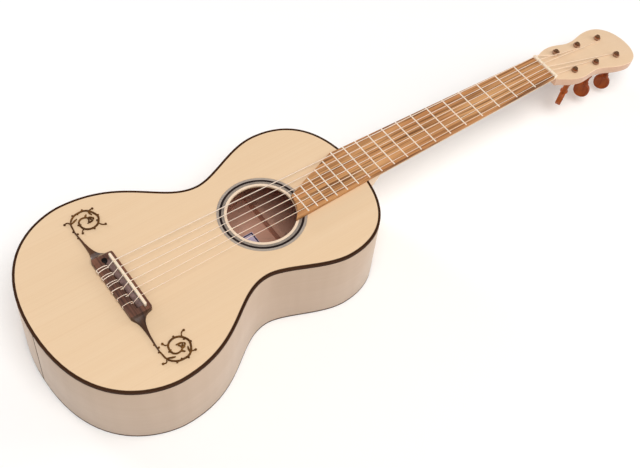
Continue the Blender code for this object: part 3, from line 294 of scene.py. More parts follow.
plains = {
    # bone, metal, cord and paper: what differs from the base, with pale and dark colours
    "bone": {"pale": (0.90, 0.77, 0.60), "dark": (0.85, 0.70, 0.52), "cloudScale": 60.0,
             "fineScale": 1500.0, "roughness": 0.32, "coat": 0.3, "soft": 0.15, "bump": 0.08},
    "creamRing": {"pale": (0.86, 0.68, 0.515), "dark": (0.80, 0.62, 0.46), "cloudScale": 40.0,
                  "fineScale": 1200.0, "coat": 0.1},
    "blackRing": {"pale": (0.020, 0.010, 0.009), "dark": (0.010, 0.005, 0.005), "roughness": 0.55,
                  "specular": 0.15, "bump": 0.08},
    "greyRing": {"pale": (0.42, 0.35, 0.29), "dark": (0.36, 0.30, 0.25)},
    "brownRing": {"pale": (0.20, 0.165, 0.135), "dark": (0.16, 0.13, 0.11)},
    "outerGreyRing": {"pale": (0.55, 0.46, 0.38), "dark": (0.48, 0.40, 0.34)},
    "outerBrownRing": {"pale": (0.30, 0.25, 0.21), "dark": (0.25, 0.21, 0.18)},
    # the frets' near-white cream is partly their pale metal and partly a painted highlight
    "fretMetalAndHighlight": {"pale": (0.98, 0.90, 0.78), "dark": (0.94, 0.84, 0.71), "cloudScale": 300.0,
                  "fineScale": 2500.0, "roughness": 0.40, "metallic": 0.15, "bump": 0.1},
    "plainString": {**cord, "pale": (0.91, 0.73, 0.58), "dark": (0.85, 0.67, 0.52),
                    "roughness": 0.35, "soft": 0.2},
    "headString": {**cord, "pale": (0.90, 0.70, 0.52), "dark": (0.84, 0.63, 0.45)},
    # painted shade: the turns of each string round its peg in dark brown, though the string itself is pale
    "pegCoilShade": {**cord, "pale": (0.46, 0.26, 0.15), "dark": (0.36, 0.19, 0.10)},
    "labelPaper": {"pale": (0.72, 0.62, 0.80), "dark": (0.66, 0.56, 0.74), "cloudScale": 50.0,
                   "fineScale": 2200.0, "roughness": 0.8, "bump": 0.2},
    "labelInk": {"pale": (0.022, 0.018, 0.060), "dark": (0.016, 0.013, 0.045), "cloudScale": 50.0,
                 "fineScale": 2200.0, "roughness": 0.7, "bump": 0.1},
    # painted shade: a near-black for the faces of the pit at the end of the bridge's channel
    "pitPaintedShade": {"pale": (0.012, 0.006, 0.005), "dark": (0.008, 0.004, 0.004), "cloudScale": 50.0,
                 "fineScale": 900.0, "roughness": 0.8, "bump": 0.1},
    "pegTip": {"pale": (0.150, 0.070, 0.028), "dark": (0.080, 0.034, 0.014), "cloudScale": 400.0,
               "roughness": 0.55, "specular": 0.2, "bump": 0.1},
    # painted sheen: the bridge's ramp in a paler mauve-grey than the rosewood, for the light its sloping
    # faces reflect
    "rampPaintedSheen": {"pale": (0.250, 0.155, 0.138), "dark": (0.130, 0.074, 0.065), "cloudScale": 160.0,
                   "roughness": 0.35, "bump": 0.1},
}
# the grooves between the turns are darkened in colour, a painted shade
winding = {
    "pale": (0.95, 0.79, 0.65), "dark": (0.85, 0.69, 0.56), "pitch": 0.00022, "cloudScale": 150.0,
    "cloudDetail": 2.0, "roughness": 0.42, "glossVary": 0.1, "grooveShadeTo": 0.2,
    "grooveShade": 0.5, "bump": 0.5, "depthShare": 0.3,
}
fades = {
    # the noise values between which each pattern comes in; a wood's own lineTo ends its lines
    "line": 0.45, "streak": (0.40, 0.65), "figure": (0.35, 0.65), "pore": (0.3, 0.7),
    "cloud": (0.35, 0.65), "fine": (0.3, 0.7),
}


def mixColour(tree, factor, first, second):
    node = tree.nodes.new("ShaderNodeMix")
    node.data_type = "RGBA"
    if isinstance(factor, bpy.types.NodeSocket):
        tree.links.new(factor, node.inputs["Factor"])
    else:
        node.inputs["Factor"].default_value = factor
    for socket, value in ((node.inputs["A"], first), (node.inputs["B"], second)):
        target = [s for s in node.inputs if s.name == socket.name and s.type == "RGBA"][0]
        if isinstance(value, bpy.types.NodeSocket):
            tree.links.new(value, target)
        else:
            target.default_value = (*value, 1.0)
    return [s for s in node.outputs if s.type == "RGBA"][0]


def spread(tree, value, low, high, start=0.0, end=1.0):
    node = tree.nodes.new("ShaderNodeMapRange")
    node.inputs["From Min"].default_value = low
    node.inputs["From Max"].default_value = high
    node.inputs["To Min"].default_value = start
    node.inputs["To Max"].default_value = end
    tree.links.new(value, node.inputs["Value"])
    return node.outputs["Result"]


def newMaterial(name):
    material = bpy.data.materials.new(name)
    material.use_nodes = True
    return material, material.node_tree, material.node_tree.nodes["Principled BSDF"]


def mappedPlace(tree, source, turn=(0.0, 0.0, 0.0)):
    place = tree.nodes.new("ShaderNodeTexCoord")
    mapping = tree.nodes.new("ShaderNodeMapping")
    mapping.inputs["Rotation"].default_value = turn
    tree.links.new(place.outputs[source], mapping.inputs["Vector"])
    return mapping.outputs["Vector"]


def bumpNormal(tree, height, strength, distance):
    node = tree.nodes.new("ShaderNodeBump")
    node.inputs["Strength"].default_value = strength
    node.inputs["Distance"].default_value = distance
    tree.links.new(height, node.inputs["Height"])
    return node.outputs["Normal"]


def setGloss(tree, shader, look, pattern, between):
    low, high = look["glossVary"]
    rough = spread(tree, pattern, *between, look["roughness"] + low, look["roughness"] + high)
    tree.links.new(rough, shader.inputs["Roughness"])
    shader.inputs["Coat Weight"].default_value = look["coat"]
    shader.inputs["Specular IOR Level"].default_value = look["specular"]
    normal = bumpNormal(tree, pattern, look["bump"], look["bumpDepth"])
    tree.links.new(normal, shader.inputs["Normal"])


def woodMaterial(name, changes):
    look = {**woodBase, **changes}
    material, tree, shader = newMaterial(name)
    vector = mappedPlace(tree, look["source"], look["turn"])
    grain = tree.nodes.new("ShaderNodeGroup")
    grain.node_tree = grainGroup
    for socket in ("Spacing", "Length", "Wander"):
        grain.inputs[socket].default_value = look[socket.lower()]
    tree.links.new(vector, grain.inputs["Vector"])
    figure = tree.nodes.new("ShaderNodeGroup")
    figure.node_tree = figureGroup
    figure.inputs["Band"].default_value = look["band"]
    tree.links.new(vector, figure.inputs["Vector"])
    line = spread(tree, grain.outputs["Line"], fades["line"], look["lineTo"], 0.0, look["line"])
    streak = spread(tree, grain.outputs["Streak"], *fades["streak"], 0.0, look["streakMix"])
    shade = spread(tree, figure.outputs["Figure"], *fades["figure"], 0.0, look["figure"])
    colour = mixColour(tree, streak, look["pale"], look["streak"])
    colour = mixColour(tree, line, colour, look["dark"])
    colour = mixColour(tree, shade, colour, look["dark"])
    tree.links.new(colour, shader.inputs["Base Color"])
    shader.inputs["Coat Roughness"].default_value = look["coatRoughness"]
    setGloss(tree, shader, look, grain.outputs["Pore"], fades["pore"])
    return material


def smoothMaterial(name, changes):
    # an even colour with a soft mottle and fine marks
    look = {**plainBase, **changes}
    material, tree, shader = newMaterial(name)
    vector = mappedPlace(tree, "Object")
    cloud = noiseNode(tree, vector, look["cloudScale"], look["cloudDetail"])
    fine = noiseNode(tree, vector, look["fineScale"], look["fineDetail"])
    mixed = mixColour(tree, spread(tree, cloud, *fades["cloud"]), look["pale"], look["dark"])
    tree.links.new(mixed, shader.inputs["Base Color"])
    shader.inputs["Metallic"].default_value = look["metallic"]
    shader.inputs["Subsurface Weight"].default_value = look["soft"]
    shader.inputs["Subsurface Radius"].default_value = look["softReach"]
    setGloss(tree, shader, look, fine, fades["fine"])
    return material


def windingMaterial(name, look):
    # fine thread wound round a cord: V of the piece's own UV map runs along it, in metres
    material, tree, shader = newMaterial(name)
    uv = tree.nodes.new("ShaderNodeTexCoord")
    split = tree.nodes.new("ShaderNodeSeparateXYZ")
    tree.links.new(uv.outputs["UV"], split.inputs[0])
    turns = mathNode(tree, "DIVIDE", split.outputs[1], look["pitch"])
    slant = mathNode(tree, "ADD", turns, split.outputs[0])
    ridge = mathNode(tree, "SINE", mathNode(tree, "MULTIPLY", slant, math.tau))
    cloud = noiseNode(tree, mappedPlace(tree, "Object"), look["cloudScale"], look["cloudDetail"])
    colour = mixColour(tree, spread(tree, cloud, *fades["cloud"]), look["pale"], look["dark"])
    # painted shade: the colour darkens in the grooves between the turns
    grooveShade = spread(tree, ridge, -1.0, look["grooveShadeTo"], look["grooveShade"], 0.0)
    tree.links.new(mixColour(tree, grooveShade, colour, look["dark"]), shader.inputs["Base Color"])
    dull = look["roughness"] + look["glossVary"]
    rough = spread(tree, cloud, *fades["fine"], look["roughness"], dull)
    tree.links.new(rough, shader.inputs["Roughness"])
    normal = bumpNormal(tree, ridge, look["bump"], look["pitch"] * look["depthShare"])
    tree.links.new(normal, shader.inputs["Normal"])
    return material


materials = {name: woodMaterial(name, look) for name, look in woods.items()}
materials.update({name: smoothMaterial(name, look) for name, look in plains.items()})
materials["woundString"] = windingMaterial("woundString", winding)
print("materials made:", len(materials))


# Shapes shared by several pieces

body = {
    "length": 0.4320, "depth": 0.1030,
    "upper": (0.1044, 0.0839), "waist": (0.0757, 0.1801), "lower": (0.1351, 0.3280),
    "shoulderReach": 0.0880, "tailReach": 0.1265,
    "upperRise": 0.0354, "upperFall": 0.0337, "waistRise": 0.0253, "waistFall": 0.0450,
    "lowerRise": 0.0818, "lowerFall": 0.0140,
    # how far the ribs lean outwards at the back, where they lean most and how far that goes on
    "lean": 0.0033, "leanAt": 0.593, "leanReach": 0.350,
    "ribThickness": 0.0022, "topBinding": (0.0028, 0.0043), "backBinding": (0.0022, 0.0020),
    "graft": 0.0015, "gap": 0.0003, "steps": 26, "ribRound": 0.0001, "edgingRound": 0.0003,
    "grainShift": {"treble": 0.2, "bass": 0.7, "edging": 0.4},    # so that no two strips show the same grain
}
weld = {"mesh": 0.000002, "pole": 0.000005, "cut": 0.00001}    # distances within which points are merged
bodyTop = body["length"] / 2
hole = {"y": bodyTop - 0.1376, "radius": 0.0410}


def curveBetween(start, handleA, handleB, end, steps):
    points = []
    for step in range(1, steps + 1):
        t = step / steps
        weights = ((1 - t) ** 3, 3 * (1 - t) ** 2 * t, 3 * (1 - t) * t * t, t ** 3)
        points.append(tuple(sum(w * p[axis] for w, p in zip(weights, (start, handleA, handleB, end)))
                            for axis in (0, 1)))
    return points


def bodyHalf(steps):
    upper = (body["upper"][0], bodyTop - body["upper"][1])
    waist = (body["waist"][0], bodyTop - body["waist"][1])
    lower = (body["lower"][0], bodyTop - body["lower"][1])
    points = [(0.0, bodyTop)]
    points += curveBetween(points[0], (body["shoulderReach"], bodyTop),
                           (upper[0], upper[1] + body["upperRise"]), upper, steps)
    points += curveBetween(upper, (upper[0], upper[1] - body["upperFall"]),
                           (waist[0], waist[1] + body["waistRise"]), waist, steps)
    points += curveBetween(waist, (waist[0], waist[1] - body["waistFall"]),
                           (lower[0], lower[1] + body["lowerRise"]), lower, steps)
    points += curveBetween(lower, (lower[0], lower[1] - body["lowerFall"]),
                           (body["tailReach"], -bodyTop), (0.0, -bodyTop), steps)
    return points


def insetHalf(inset, steps):
    points = bodyHalf(steps)
    moved = []
    for index, (x, y) in enumerate(points):
        before = points[max(index - 1, 0)]
        after = points[min(index + 1, len(points) - 1)]
        run = (after[0] - before[0], after[1] - before[1])
        if index == 0:
            run = (1.0, 0.0)
        if index == len(points) - 1:
            run = (-1.0, 0.0)
        length = math.hypot(*run)
        moved.append((x + inset * run[1] / length, y - inset * run[0] / length))
    return moved


def beyondLine(half, least):
    kept = []
    for first, second in zip(half, half[1:]):
        if (first[0] >= least) != (second[0] >= least):
            share = (least - first[0]) / (second[0] - first[0])
            kept.append((least, first[1] + share * (second[1] - first[1])))
        if second[0] >= least:
            kept.append(second)
    return kept


def wholeOutline(inset):
    half = insetHalf(inset, body["steps"])
    return half + [(-x, y) for x, y in reversed(half[1:-1])]


bodyEdge = insetHalf(0.0, body["steps"])


def halfWidthAt(y):
    widths = []
    for first, second in zip(bodyEdge, bodyEdge[1:]):
        if min(first[1], second[1]) <= y <= max(first[1], second[1]) and first[1] != second[1]:
            share = (y - first[1]) / (second[1] - first[1])
            widths.append(first[0] + share * (second[0] - first[0]))
    return min(widths)


def leanOutwards(bm):
    start = body["depth"] - body["topBinding"][1] - body["gap"]
    centre = bodyTop - body["leanAt"] * body["length"]
    reach = body["leanReach"] * body["length"]
    for vert in bm.verts:
        share = abs(vert.co.y - centre) / reach
        if share < 1 and vert.co.z < start:
            lean = body["lean"] * math.cos(math.pi / 2 * share) ** 2 * (1 - vert.co.z / start)
            vert.co.x *= 1 + lean / halfWidthAt(vert.co.y)
    return bm


def bevelEdges(bm, edges, offset, segments=2):
    bmesh.ops.bevel(bm, geom=edges, offset=offset, offset_type="OFFSET", affect="EDGES", segments=segments,
                    profile=0.5, material=-1, clamp_overlap=True)


def finishPiece(name, bm, material, replaced=(), rides="root", angle=35, bevel=0.0, others=()):
    # others are the finishes of the faces that already have a material index of 1 or more
    bmesh.ops.remove_doubles(bm, verts=bm.verts, dist=weld["mesh"])
    bmesh.ops.recalc_face_normals(bm, faces=bm.faces)
    if bevel:
        limit = math.radians(angle)
        sharp = [edge for edge in bm.edges if edge.is_manifold and edge.calc_face_angle() > limit]
        bevelEdges(bm, sharp, bevel)
    mesh = bpy.data.meshes.new(name)
    bm.to_mesh(mesh)
    bm.free()
    for finish in (material, *others):
        mesh.materials.append(materials[finish])
    mesh.shade_smooth()
    mesh.set_sharp_from_angle(angle=math.radians(angle))
    obj = addToScene(name, mesh)
    if replaced:
        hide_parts(*replaced)
    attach(obj, rides)
    return obj


def paintFaces(bm, test, index=1):
    for face in bm.faces:
        if test(face):
            face.material_index = index


def circlePoints(centre, radius, steps):
    return [(centre[0] + radius * math.cos(math.tau * step / steps),
             centre[1] + radius * math.sin(math.tau * step / steps)) for step in range(steps)]


def sectionLoop(bm, points):
    verts = [bm.verts.new(point) for point in points]
    return [bm.edges.new(pair) for pair in zip(verts, verts[1:] + verts[:1])]


def movedVerts(made):
    return [item for item in made["geom"] if isinstance(item, bmesh.types.BMVert)]


def outlineSolid(loops, low, high):
    # closed outlines in XY; the first is the outside and the others are holes
    bm = bmesh.new()
    edges = []
    for loop in loops:
        edges += sectionLoop(bm, [(x, y, low) for x, y in loop])
    bmesh.ops.triangle_fill(bm, edges=edges, use_beauty=True, normal=(0, 0, 1))
    made = bmesh.ops.extrude_face_region(bm, geom=bm.faces[:])
    bmesh.ops.translate(bm, verts=movedVerts(made), vec=(0, 0, high - low))
    return bm


def ringSolid(centre, inner, outer, low, high, steps=128):
    bm = bmesh.new()
    profile = ((inner, low), (outer, low), (outer, high), (inner, high))
    edges = sectionLoop(bm, [(centre[0] + radius, centre[1], z) for radius, z in profile])
    bmesh.ops.spin(bm, geom=bm.verts[:] + edges, cent=(*centre, 0), axis=(0, 0, 1), angle=math.tau,
                   steps=steps, use_merge=True)
    return bm


def mergedCopy(node, flatAngle=0.6):
    # a node's mesh is loose triangles, so a copy is merged and its flat faces are made whole
    bm = bmesh.new()
    bm.from_mesh(nodes[node].data)
    bmesh.ops.remove_doubles(bm, verts=bm.verts, dist=weld["mesh"])
    bmesh.ops.dissolve_limit(bm, angle_limit=math.radians(flatAngle), verts=bm.verts, edges=bm.edges)
    return bm


def addAll(target, source):
    mesh = bpy.data.meshes.new("joined")
    source.to_mesh(mesh)
    source.free()
    target.from_mesh(mesh)
    bpy.data.meshes.remove(mesh)
    return target


# Body

board = {"thickness": 0.0025, "seatDepth": 0.0012, "seatRadius": 0.0533, "steps": 128}


def makeSoundboard():
    # the plate with its soundhole and, round the hole, the shallow seat of the rosette
    high = body["depth"]
    low = high - board["thickness"]
    seat = high - board["seatDepth"]
    centre = (0.0, hole["y"])
    plate = wholeOutline(body["topBinding"][0] + body["gap"])
    seatRim = circlePoints(centre, board["seatRadius"], board["steps"])
    holeRim = circlePoints(centre, hole["radius"], board["steps"])
    bm = bmesh.new()
    rings = [sectionLoop(bm, [(x, y, z) for x, y in points]) for points, z in (
        (plate, low), (plate, high), (seatRim, high), (seatRim, seat), (holeRim, seat), (holeRim, low))]
    bmesh.ops.triangle_fill(bm, edges=rings[0] + rings[5], use_beauty=True, normal=(0, 0, -1))
    bmesh.ops.triangle_fill(bm, edges=rings[1] + rings[2], use_beauty=True, normal=(0, 0, 1))
    for first, second in ((0, 1), (2, 3), (3, 4), (4, 5)):
        bmesh.ops.bridge_loops(bm, edges=rings[first] + rings[second])
    paintFaces(bm, lambda face: all(vert.co.z < low + body["gap"] for vert in face.verts))
    finishPiece("soundboardPlate", bm, "spruceTop", ["soundboard"], others=("innerMaple",))


def makeBack():
    inset = body["backBinding"][0] + body["gap"]
    bm = leanOutwards(outlineSolid([wholeOutline(inset)], 0.0, board["thickness"]))
    paintFaces(bm, lambda face: all(vert.co.z > body["gap"] for vert in face.verts))
    finishPiece("backPlate", bm, "ribMaple", ["back"], others=("innerMaple",))


def bendUv(bm, path, shift):
    # U runs over the strip's height and V along the outline, both in metres
    layer = bm.loops.layers.uv.new("UVMap")
    lengths = [0.0]
    for first, second in zip(path, path[1:]):
        lengths.append(lengths[-1] + math.dist(first, second))

    def nearestTo(place):
        return min(range(len(path)), key=lambda i: (path[i][0] - place.x) ** 2 + (path[i][1] - place.y) ** 2)
    for face in bm.faces:
        for loop in face.loops:
            place = loop.vert.co
            loop[layer].uv = (place.z + shift, lengths[nearestTo(place)])


def stripSolid(side, inset, width, topLeast, tailLeast, low, high):
    steps = body["steps"]
    outer = insetHalf(inset, steps)
    inner = insetHalf(inset + width, steps)
    middle = 2 * steps
    loops = []
    for half in (outer, inner):
        loops.append(beyondLine(half[:middle + 1], topLeast) + beyondLine(half[middle:], tailLeast))
    outline = [(side * x, y) for x, y in loops[0] + list(reversed(loops[1]))]
    bm = outlineSolid([outline], low, high)
    bendUv(bm, [(side * x, y) for x, y in loops[0]], body["grainShift"]["treble" if side > 0 else "bass"])
    inside = [(side * x, y) for x, y in loops[1]]
    paintFaces(bm, lambda face: all(min(math.dist(vert.co.xy, spot) for spot in inside) < body["gap"] / 10
                                    for vert in face.verts))
    return leanOutwards(bm)


def edgingSolid(width, low, high):
    # one strip round the whole body, whose ends meet at the neck
    outer = beyondLine(insetHalf(0.0, body["steps"]), body["gap"] / 2)
    inner = beyondLine(insetHalf(width, body["steps"]), body["gap"] / 2)
    outside = outer + [(0.0, -bodyTop)] + [(-x, y) for x, y in reversed(outer)]
    inside = inner + [(0.0, width - bodyTop)] + [(-x, y) for x, y in reversed(inner)]
    bm = outlineSolid([outside + list(reversed(inside))], low, high)
    bendUv(bm, outside, body["grainShift"]["edging"])
    return leanOutwards(bm)


def makeSides():
    gap = body["gap"]
    low = body["backBinding"][1] + gap
    high = body["depth"] - body["topBinding"][1] - gap
    for word, side in (("Bass", -1), ("Treble", 1)):
        bm = stripSolid(side, 0.0, body["ribThickness"], gap / 2, body["graft"] / 2 + gap, low, high)
        finishPiece("rib" + word, bm, "ribMapleCurved", ["rib_" + word.lower()],
                    bevel=body["ribRound"], others=("innerMaple",))
    for word, (width, height), base in (("top", body["topBinding"], body["depth"] - body["topBinding"][1]),
                                        ("back", body["backBinding"], 0.0)):
        bm = edgingSolid(width, base, base + height)
        finishPiece(word + "Edging", bm, "bindingCurved", [word + "_binding"],
                    bevel=body["edgingRound"])


makeSoundboard()
makeBack()
makeSides()
print("body shell made")


# Rosette

rosette = {
    "depth": 0.0009, "top": body["depth"], "gap": 0.00005,
    # first radius, last radius and material of each ring, from the soundhole outwards
    "rings": (
        ("rosetteCream", "creamRing", ((0.0410, 0.0442),)),
        ("rosetteInnerBrown", "brownRing", ((0.0442, 0.0447), (0.0452, 0.0457), (0.0462, 0.0467))),
        ("rosetteInnerGrey", "greyRing", ((0.0447, 0.0452), (0.0457, 0.0462), (0.0467, 0.0472))),
        ("rosetteBlack", "blackRing", ((0.0472, 0.0500),)),
        ("rosetteOuterGrey", "outerGreyRing", ((0.0505, 0.0510), (0.0515, 0.0520), (0.0525, 0.0530))),
        ("rosetteOuterBrown", "outerBrownRing", ((0.0500, 0.0505), (0.0510, 0.0515), (0.0520, 0.0525))),
    ),
}


def makeRosette(look):
    for name, material, rings in look["rings"]:
        bm = bmesh.new()
        for inner, outer in rings:
            addAll(bm, ringSolid((0.0, hole["y"]), inner + look["gap"] / 2, outer - look["gap"] / 2,
                                 look["top"] - look["depth"], look["top"]))
        finishPiece(name, bm, material, ["rosette"])


makeRosette(rosette)


# Inside of the body

label = {"half": 0.0425, "top": bodyTop - 0.1200, "length": 0.0600, "floor": 0.0028, "paper": 0.0003,
         "border": 0.0018, "margin": 0.0006, "ink": 0.00004}


def makeLabel(look):
    def rectangle(inset):
        x = look["half"] - inset
        far = look["top"] - inset
        near = look["top"] - look["length"] + inset
        return [(x, near), (x, far), (-x, far), (-x, near)]
    top = look["floor"] + look["paper"]
    finishPiece("labelSheet", outlineSolid([rectangle(0.0)], look["floor"], top), "labelPaper", ["label"])
    bm = outlineSolid([rectangle(look["margin"]), rectangle(look["margin"] + look["border"])], top,
                      top + look["ink"])
    finishPiece("labelBorder", bm, "labelInk")


def makeInside():
    for name, obj in nodes.items():
        if "lining" in name or name.endswith("block"):
            material = "innerSpruce"
        elif "bar_" in name:
            material = "barSpruce"
        elif name == "tail_graft":
            material = "bindingWood"
        else:
            continue
        obj.data.materials.clear()
        obj.data.materials.append(materials[material])


makeLabel(label)
makeInside()
print("rosette, label and inner timber made")


# Neck, fingerboard, frets and nut

neck = {
    "pitch": math.radians(1.1), "reach": 0.3150, "scale": 0.6300, "nutWidth": 0.0052,
    "nutHalf": 0.0216, "bodyHalf": 0.02845, "board": 0.0040, "boardStock": 0.0120, "gap": 0.0003,
    "depthNut": 0.0165, "depthHeel": 0.0190, "roundness": 1.25, "shaftInside": 0.0120,
    "stations": 16, "shaftSteps": 32,
    # width and reach of the heel at its top and foot, and the powers that shape it in between
    "heelTop": (0.0460, 0.0560), "heelFoot": (0.0270, 0.0170), "heelPowers": (1.2, 2.4),
    "heelLift": 0.0012, "heelOverlap": 0.45, "heelInside": 0.006, "heelRound": 0.9,
    "heelLevels": 24, "heelSteps": 28,
    "cutBelow": 0.01, "cutAbove": 0.02,    # how far the body's form reaches past the neck's timber
    "frets": 18, "fretWidth": 0.0016, "fretHeight": 0.0010, "fretInset": 0.0004, "slantFret": 13,
    "fretSteps": 10, "holeArcSteps": 24, "boardRound": 0.0002, "nutRound": 0.00012,
}
neckTurn = Matrix.Translation((0, bodyTop, body["depth"])) @ Matrix.Rotation(-neck["pitch"], 4, "X")
head = {
    "tilt": math.radians(9.9), "drop": 0.0030, "thickness": 0.0110, "length": 0.1680,
    "lower": (0.0334, 0.0430), "waist": (0.0294, 0.0750), "upper": (0.0388, 0.1310),
    # curve handles of the outline, from the nut to the top
    "flare": (0.003, 0.012), "lowerHandles": (0.020, 0.013), "waistHandles": (0.011, 0.020),
    "upperHandles": (0.026, 0.024), "crownShare": 0.55, "steps": 18,
    "pegRow": 0.0190, "pegFirst": 0.0395, "pegSpacing": 0.0440, "hole": 0.0038, "holeSteps": 32,
    # the rims are rounded where they are this far from the peg holes and from the nut
    "edge": 0.0008, "edgeSteps": 3, "holeClear": 0.006, "nutClear": 0.004, "rimAngle": 60, "sideFacing": 0.3,
}
headTurn = (neckTurn @ Matrix.Translation((0, neck["reach"] + neck["nutWidth"] + neck["gap"], -head["drop"]))
            @ Matrix.Rotation(-head["tilt"], 4, "X"))


def fretPlace(number):
    return neck["reach"] - neck["scale"] * (1 - 2 ** (-number / 12))


def boardHalf(y):
    share = (neck["reach"] - y) / neck["reach"]
    return neck["nutHalf"] + share * (neck["bodyHalf"] - neck["nutHalf"])


def slantEdge(y):
    start = fretPlace(neck["slantFret"]) - neck["fretWidth"]
    end = hole["y"] + hole["radius"] - bodyTop
    if y >= start:
        return -boardHalf(y)
    return -boardHalf(start) * (1 - (start - y) / (start - end))


def planeCut(bm, place, normal):
    # keeps what lies behind the plane and closes the cut
    made = bmesh.ops.bisect_plane(bm, geom=bm.verts[:] + bm.edges[:] + bm.faces[:], plane_co=place,
                                  plane_no=normal, clear_outer=True)
    edges = [item for item in made["geom_cut"] if isinstance(item, bmesh.types.BMEdge)]
    bmesh.ops.triangle_fill(bm, edges=edges, use_beauty=True)


def makeFingerboard(look):
    centre = hole["y"] - bodyTop
    endY = centre + hole["radius"] * 0.6    # a first guess at where the board's edge meets the soundhole
    for _ in range(6):
        endY = centre + math.sqrt(hole["radius"] ** 2 - boardHalf(endY) ** 2)
    last = math.acos(boardHalf(endY) / hole["radius"])
    near = look["reach"] - look["gap"]
    start = fretPlace(look["slantFret"]) - look["fretWidth"]
    outline = [(boardHalf(near), near), (-boardHalf(near), near), (slantEdge(start), start)]
    for step in range(look["holeArcSteps"] + 1):
        angle = math.pi / 2 + (last - math.pi / 2) * step / look["holeArcSteps"]
        outline.append((hole["radius"] * math.cos(angle), centre + hole["radius"] * math.sin(angle)))
    bm = outlineSolid([outline], -look["boardStock"], look["gap"] + look["board"])
    bmesh.ops.transform(bm, matrix=neckTurn, verts=bm.verts)
    bodyPart = bm.copy()
    planeCut(bodyPart, (0, bodyTop, body["depth"] + look["gap"]), (0, 0, -1))
    planeCut(bodyPart, (0, bodyTop, body["depth"]), (0, 1, 0))
    normal = neckTurn.to_3x3() @ Vector((0, 0, 1))
    planeCut(bm, neckTurn @ Vector((0, 0, look["gap"])), -normal)
    planeCut(bm, (0, bodyTop, body["depth"]), (0, -1, 0))
    addAll(bm, bodyPart)
    bmesh.ops.remove_doubles(bm, verts=bm.verts, dist=weld["cut"])
    seam = [face for face in bm.faces if all(abs(vert.co.y - bodyTop) < weld["cut"] for vert in face.verts)]
    bmesh.ops.delete(bm, geom=seam, context="FACES")
    finishPiece("fingerboardTop", bm, "fingerboardWood", ["fingerboard"],
                bevel=look["boardRound"])


def makeFrets(look):
    top = look["gap"] + look["board"]
    for number in range(1, look["frets"] + 1):
        y = fretPlace(number)
        bass = slantEdge(y - look["fretWidth"] / 2) + look["fretInset"]
        treble = boardHalf(y) - look["fretInset"]
        bm = bmesh.new()
        section = []
        for step in range(look["fretSteps"] + 1):
            angle = math.pi * step / look["fretSteps"]
            section.append(bm.verts.new((bass, y + look["fretWidth"] / 2 * math.cos(angle),
                                         top + look["fretHeight"] * math.sin(angle))))
        made = bmesh.ops.extrude_face_region(bm, geom=[bm.faces.new(section)])
        bmesh.ops.translate(bm, verts=movedVerts(made), vec=(treble - bass, 0, 0))
        bmesh.ops.transform(bm, matrix=neckTurn, verts=bm.verts)
        finishPiece(f"fretCrown{number}", bm, "fretMetalAndHighlight", [f"fret_{number}"], angle=50)


def shareBetween(start, end, share):
    return start + (end - start) * share


def loftSolid(sections):
    bm = bmesh.new()
    loops = [sectionLoop(bm, section) for section in sections]
    bmesh.ops.bridge_loops(bm, edges=[edge for loop in loops for edge in loop])
    for loop in (loops[0], loops[-1]):
        bmesh.ops.contextual_create(bm, geom=loop)
    bmesh.ops.recalc_face_normals(bm, faces=bm.faces)
    return bm


def looseObject(name, bm):
    mesh = bpy.data.meshes.new(name)
    bm.to_mesh(mesh)
    bm.free()
    return addToScene(name, mesh)


def combined(base, others, crossing=True):
    # others is a list of (object, operation); gives the result as a bmesh and removes the objects
    for other, operation in others:
        step = base.modifiers.new(other.name, "BOOLEAN")
        step.operation = operation
        step.solver = "EXACT"
        step.use_self = crossing and operation == "UNION"
        step.object = other
    bpy.context.view_layer.update()
    shown = base.evaluated_get(bpy.context.evaluated_depsgraph_get())
    mesh = bpy.data.meshes.new_from_object(shown)
    bm = bmesh.new()
    bm.from_mesh(mesh)
    bpy.data.meshes.remove(mesh)
    for obj in [base] + [other for other, _ in others]:
        bpy.data.objects.remove(obj, do_unlink=True)
    return bm


def heelSection(width, reach, z, look):
    inside = bodyTop - look["heelInside"]
    section = [(width / 2, inside, z)]
    for step in range(look["heelSteps"] + 1):
        angle = math.pi * step / look["heelSteps"]
        section.append((width / 2 * math.cos(angle),
                        bodyTop + reach * math.sin(angle) ** look["heelRound"], z))
    section.append((-width / 2, inside, z))
    return section


def shaftSection(y, look):
    share = max(0.0, 1 - y / look["reach"])
    deep = shareBetween(look["depthNut"], look["depthHeel"], share)
    half = boardHalf(min(y, look["reach"]))
    section = []
    for step in range(look["shaftSteps"] + 1):
        angle = math.pi * step / look["shaftSteps"]
        x = half * math.copysign(abs(math.cos(angle)) ** look["roundness"], math.cos(angle))
        section.append(neckTurn @ Vector((x, y, -deep * math.sin(angle) ** look["roundness"])))
    return section


def makeNeck(look):
    end = look["reach"] + look["nutWidth"]
    start = -look["shaftInside"]
    last = look["stations"] - 1
    sections = [shaftSection(start + (end - start) * station / last, look) for station in range(last + 1)]
    shaft = looseObject("shaftForm", loftSolid(sections))
    high = body["depth"] - look["depthHeel"] * look["heelOverlap"]
    heelSections = []
    for level in range(look["heelLevels"]):
        share = level / (look["heelLevels"] - 1)
        width, reach = (shareBetween(foot, top, share ** power) for foot, top, power in
                        zip(look["heelFoot"], look["heelTop"], look["heelPowers"]))
        heelSections.append(heelSection(width, reach, shareBetween(look["heelLift"], high, share), look))
    heel = looseObject("heelForm", loftSolid(heelSections))
    shell = looseObject("bodyForm", outlineSolid([wholeOutline(-look["gap"])], -look["cutBelow"],
                                                 body["depth"] + look["cutAbove"]))
    bm = combined(shaft, [(heel, "UNION"), (shell, "DIFFERENCE")])
    finishPiece("neckShaft", bm, "neckMaple", ["neck"], angle=40)


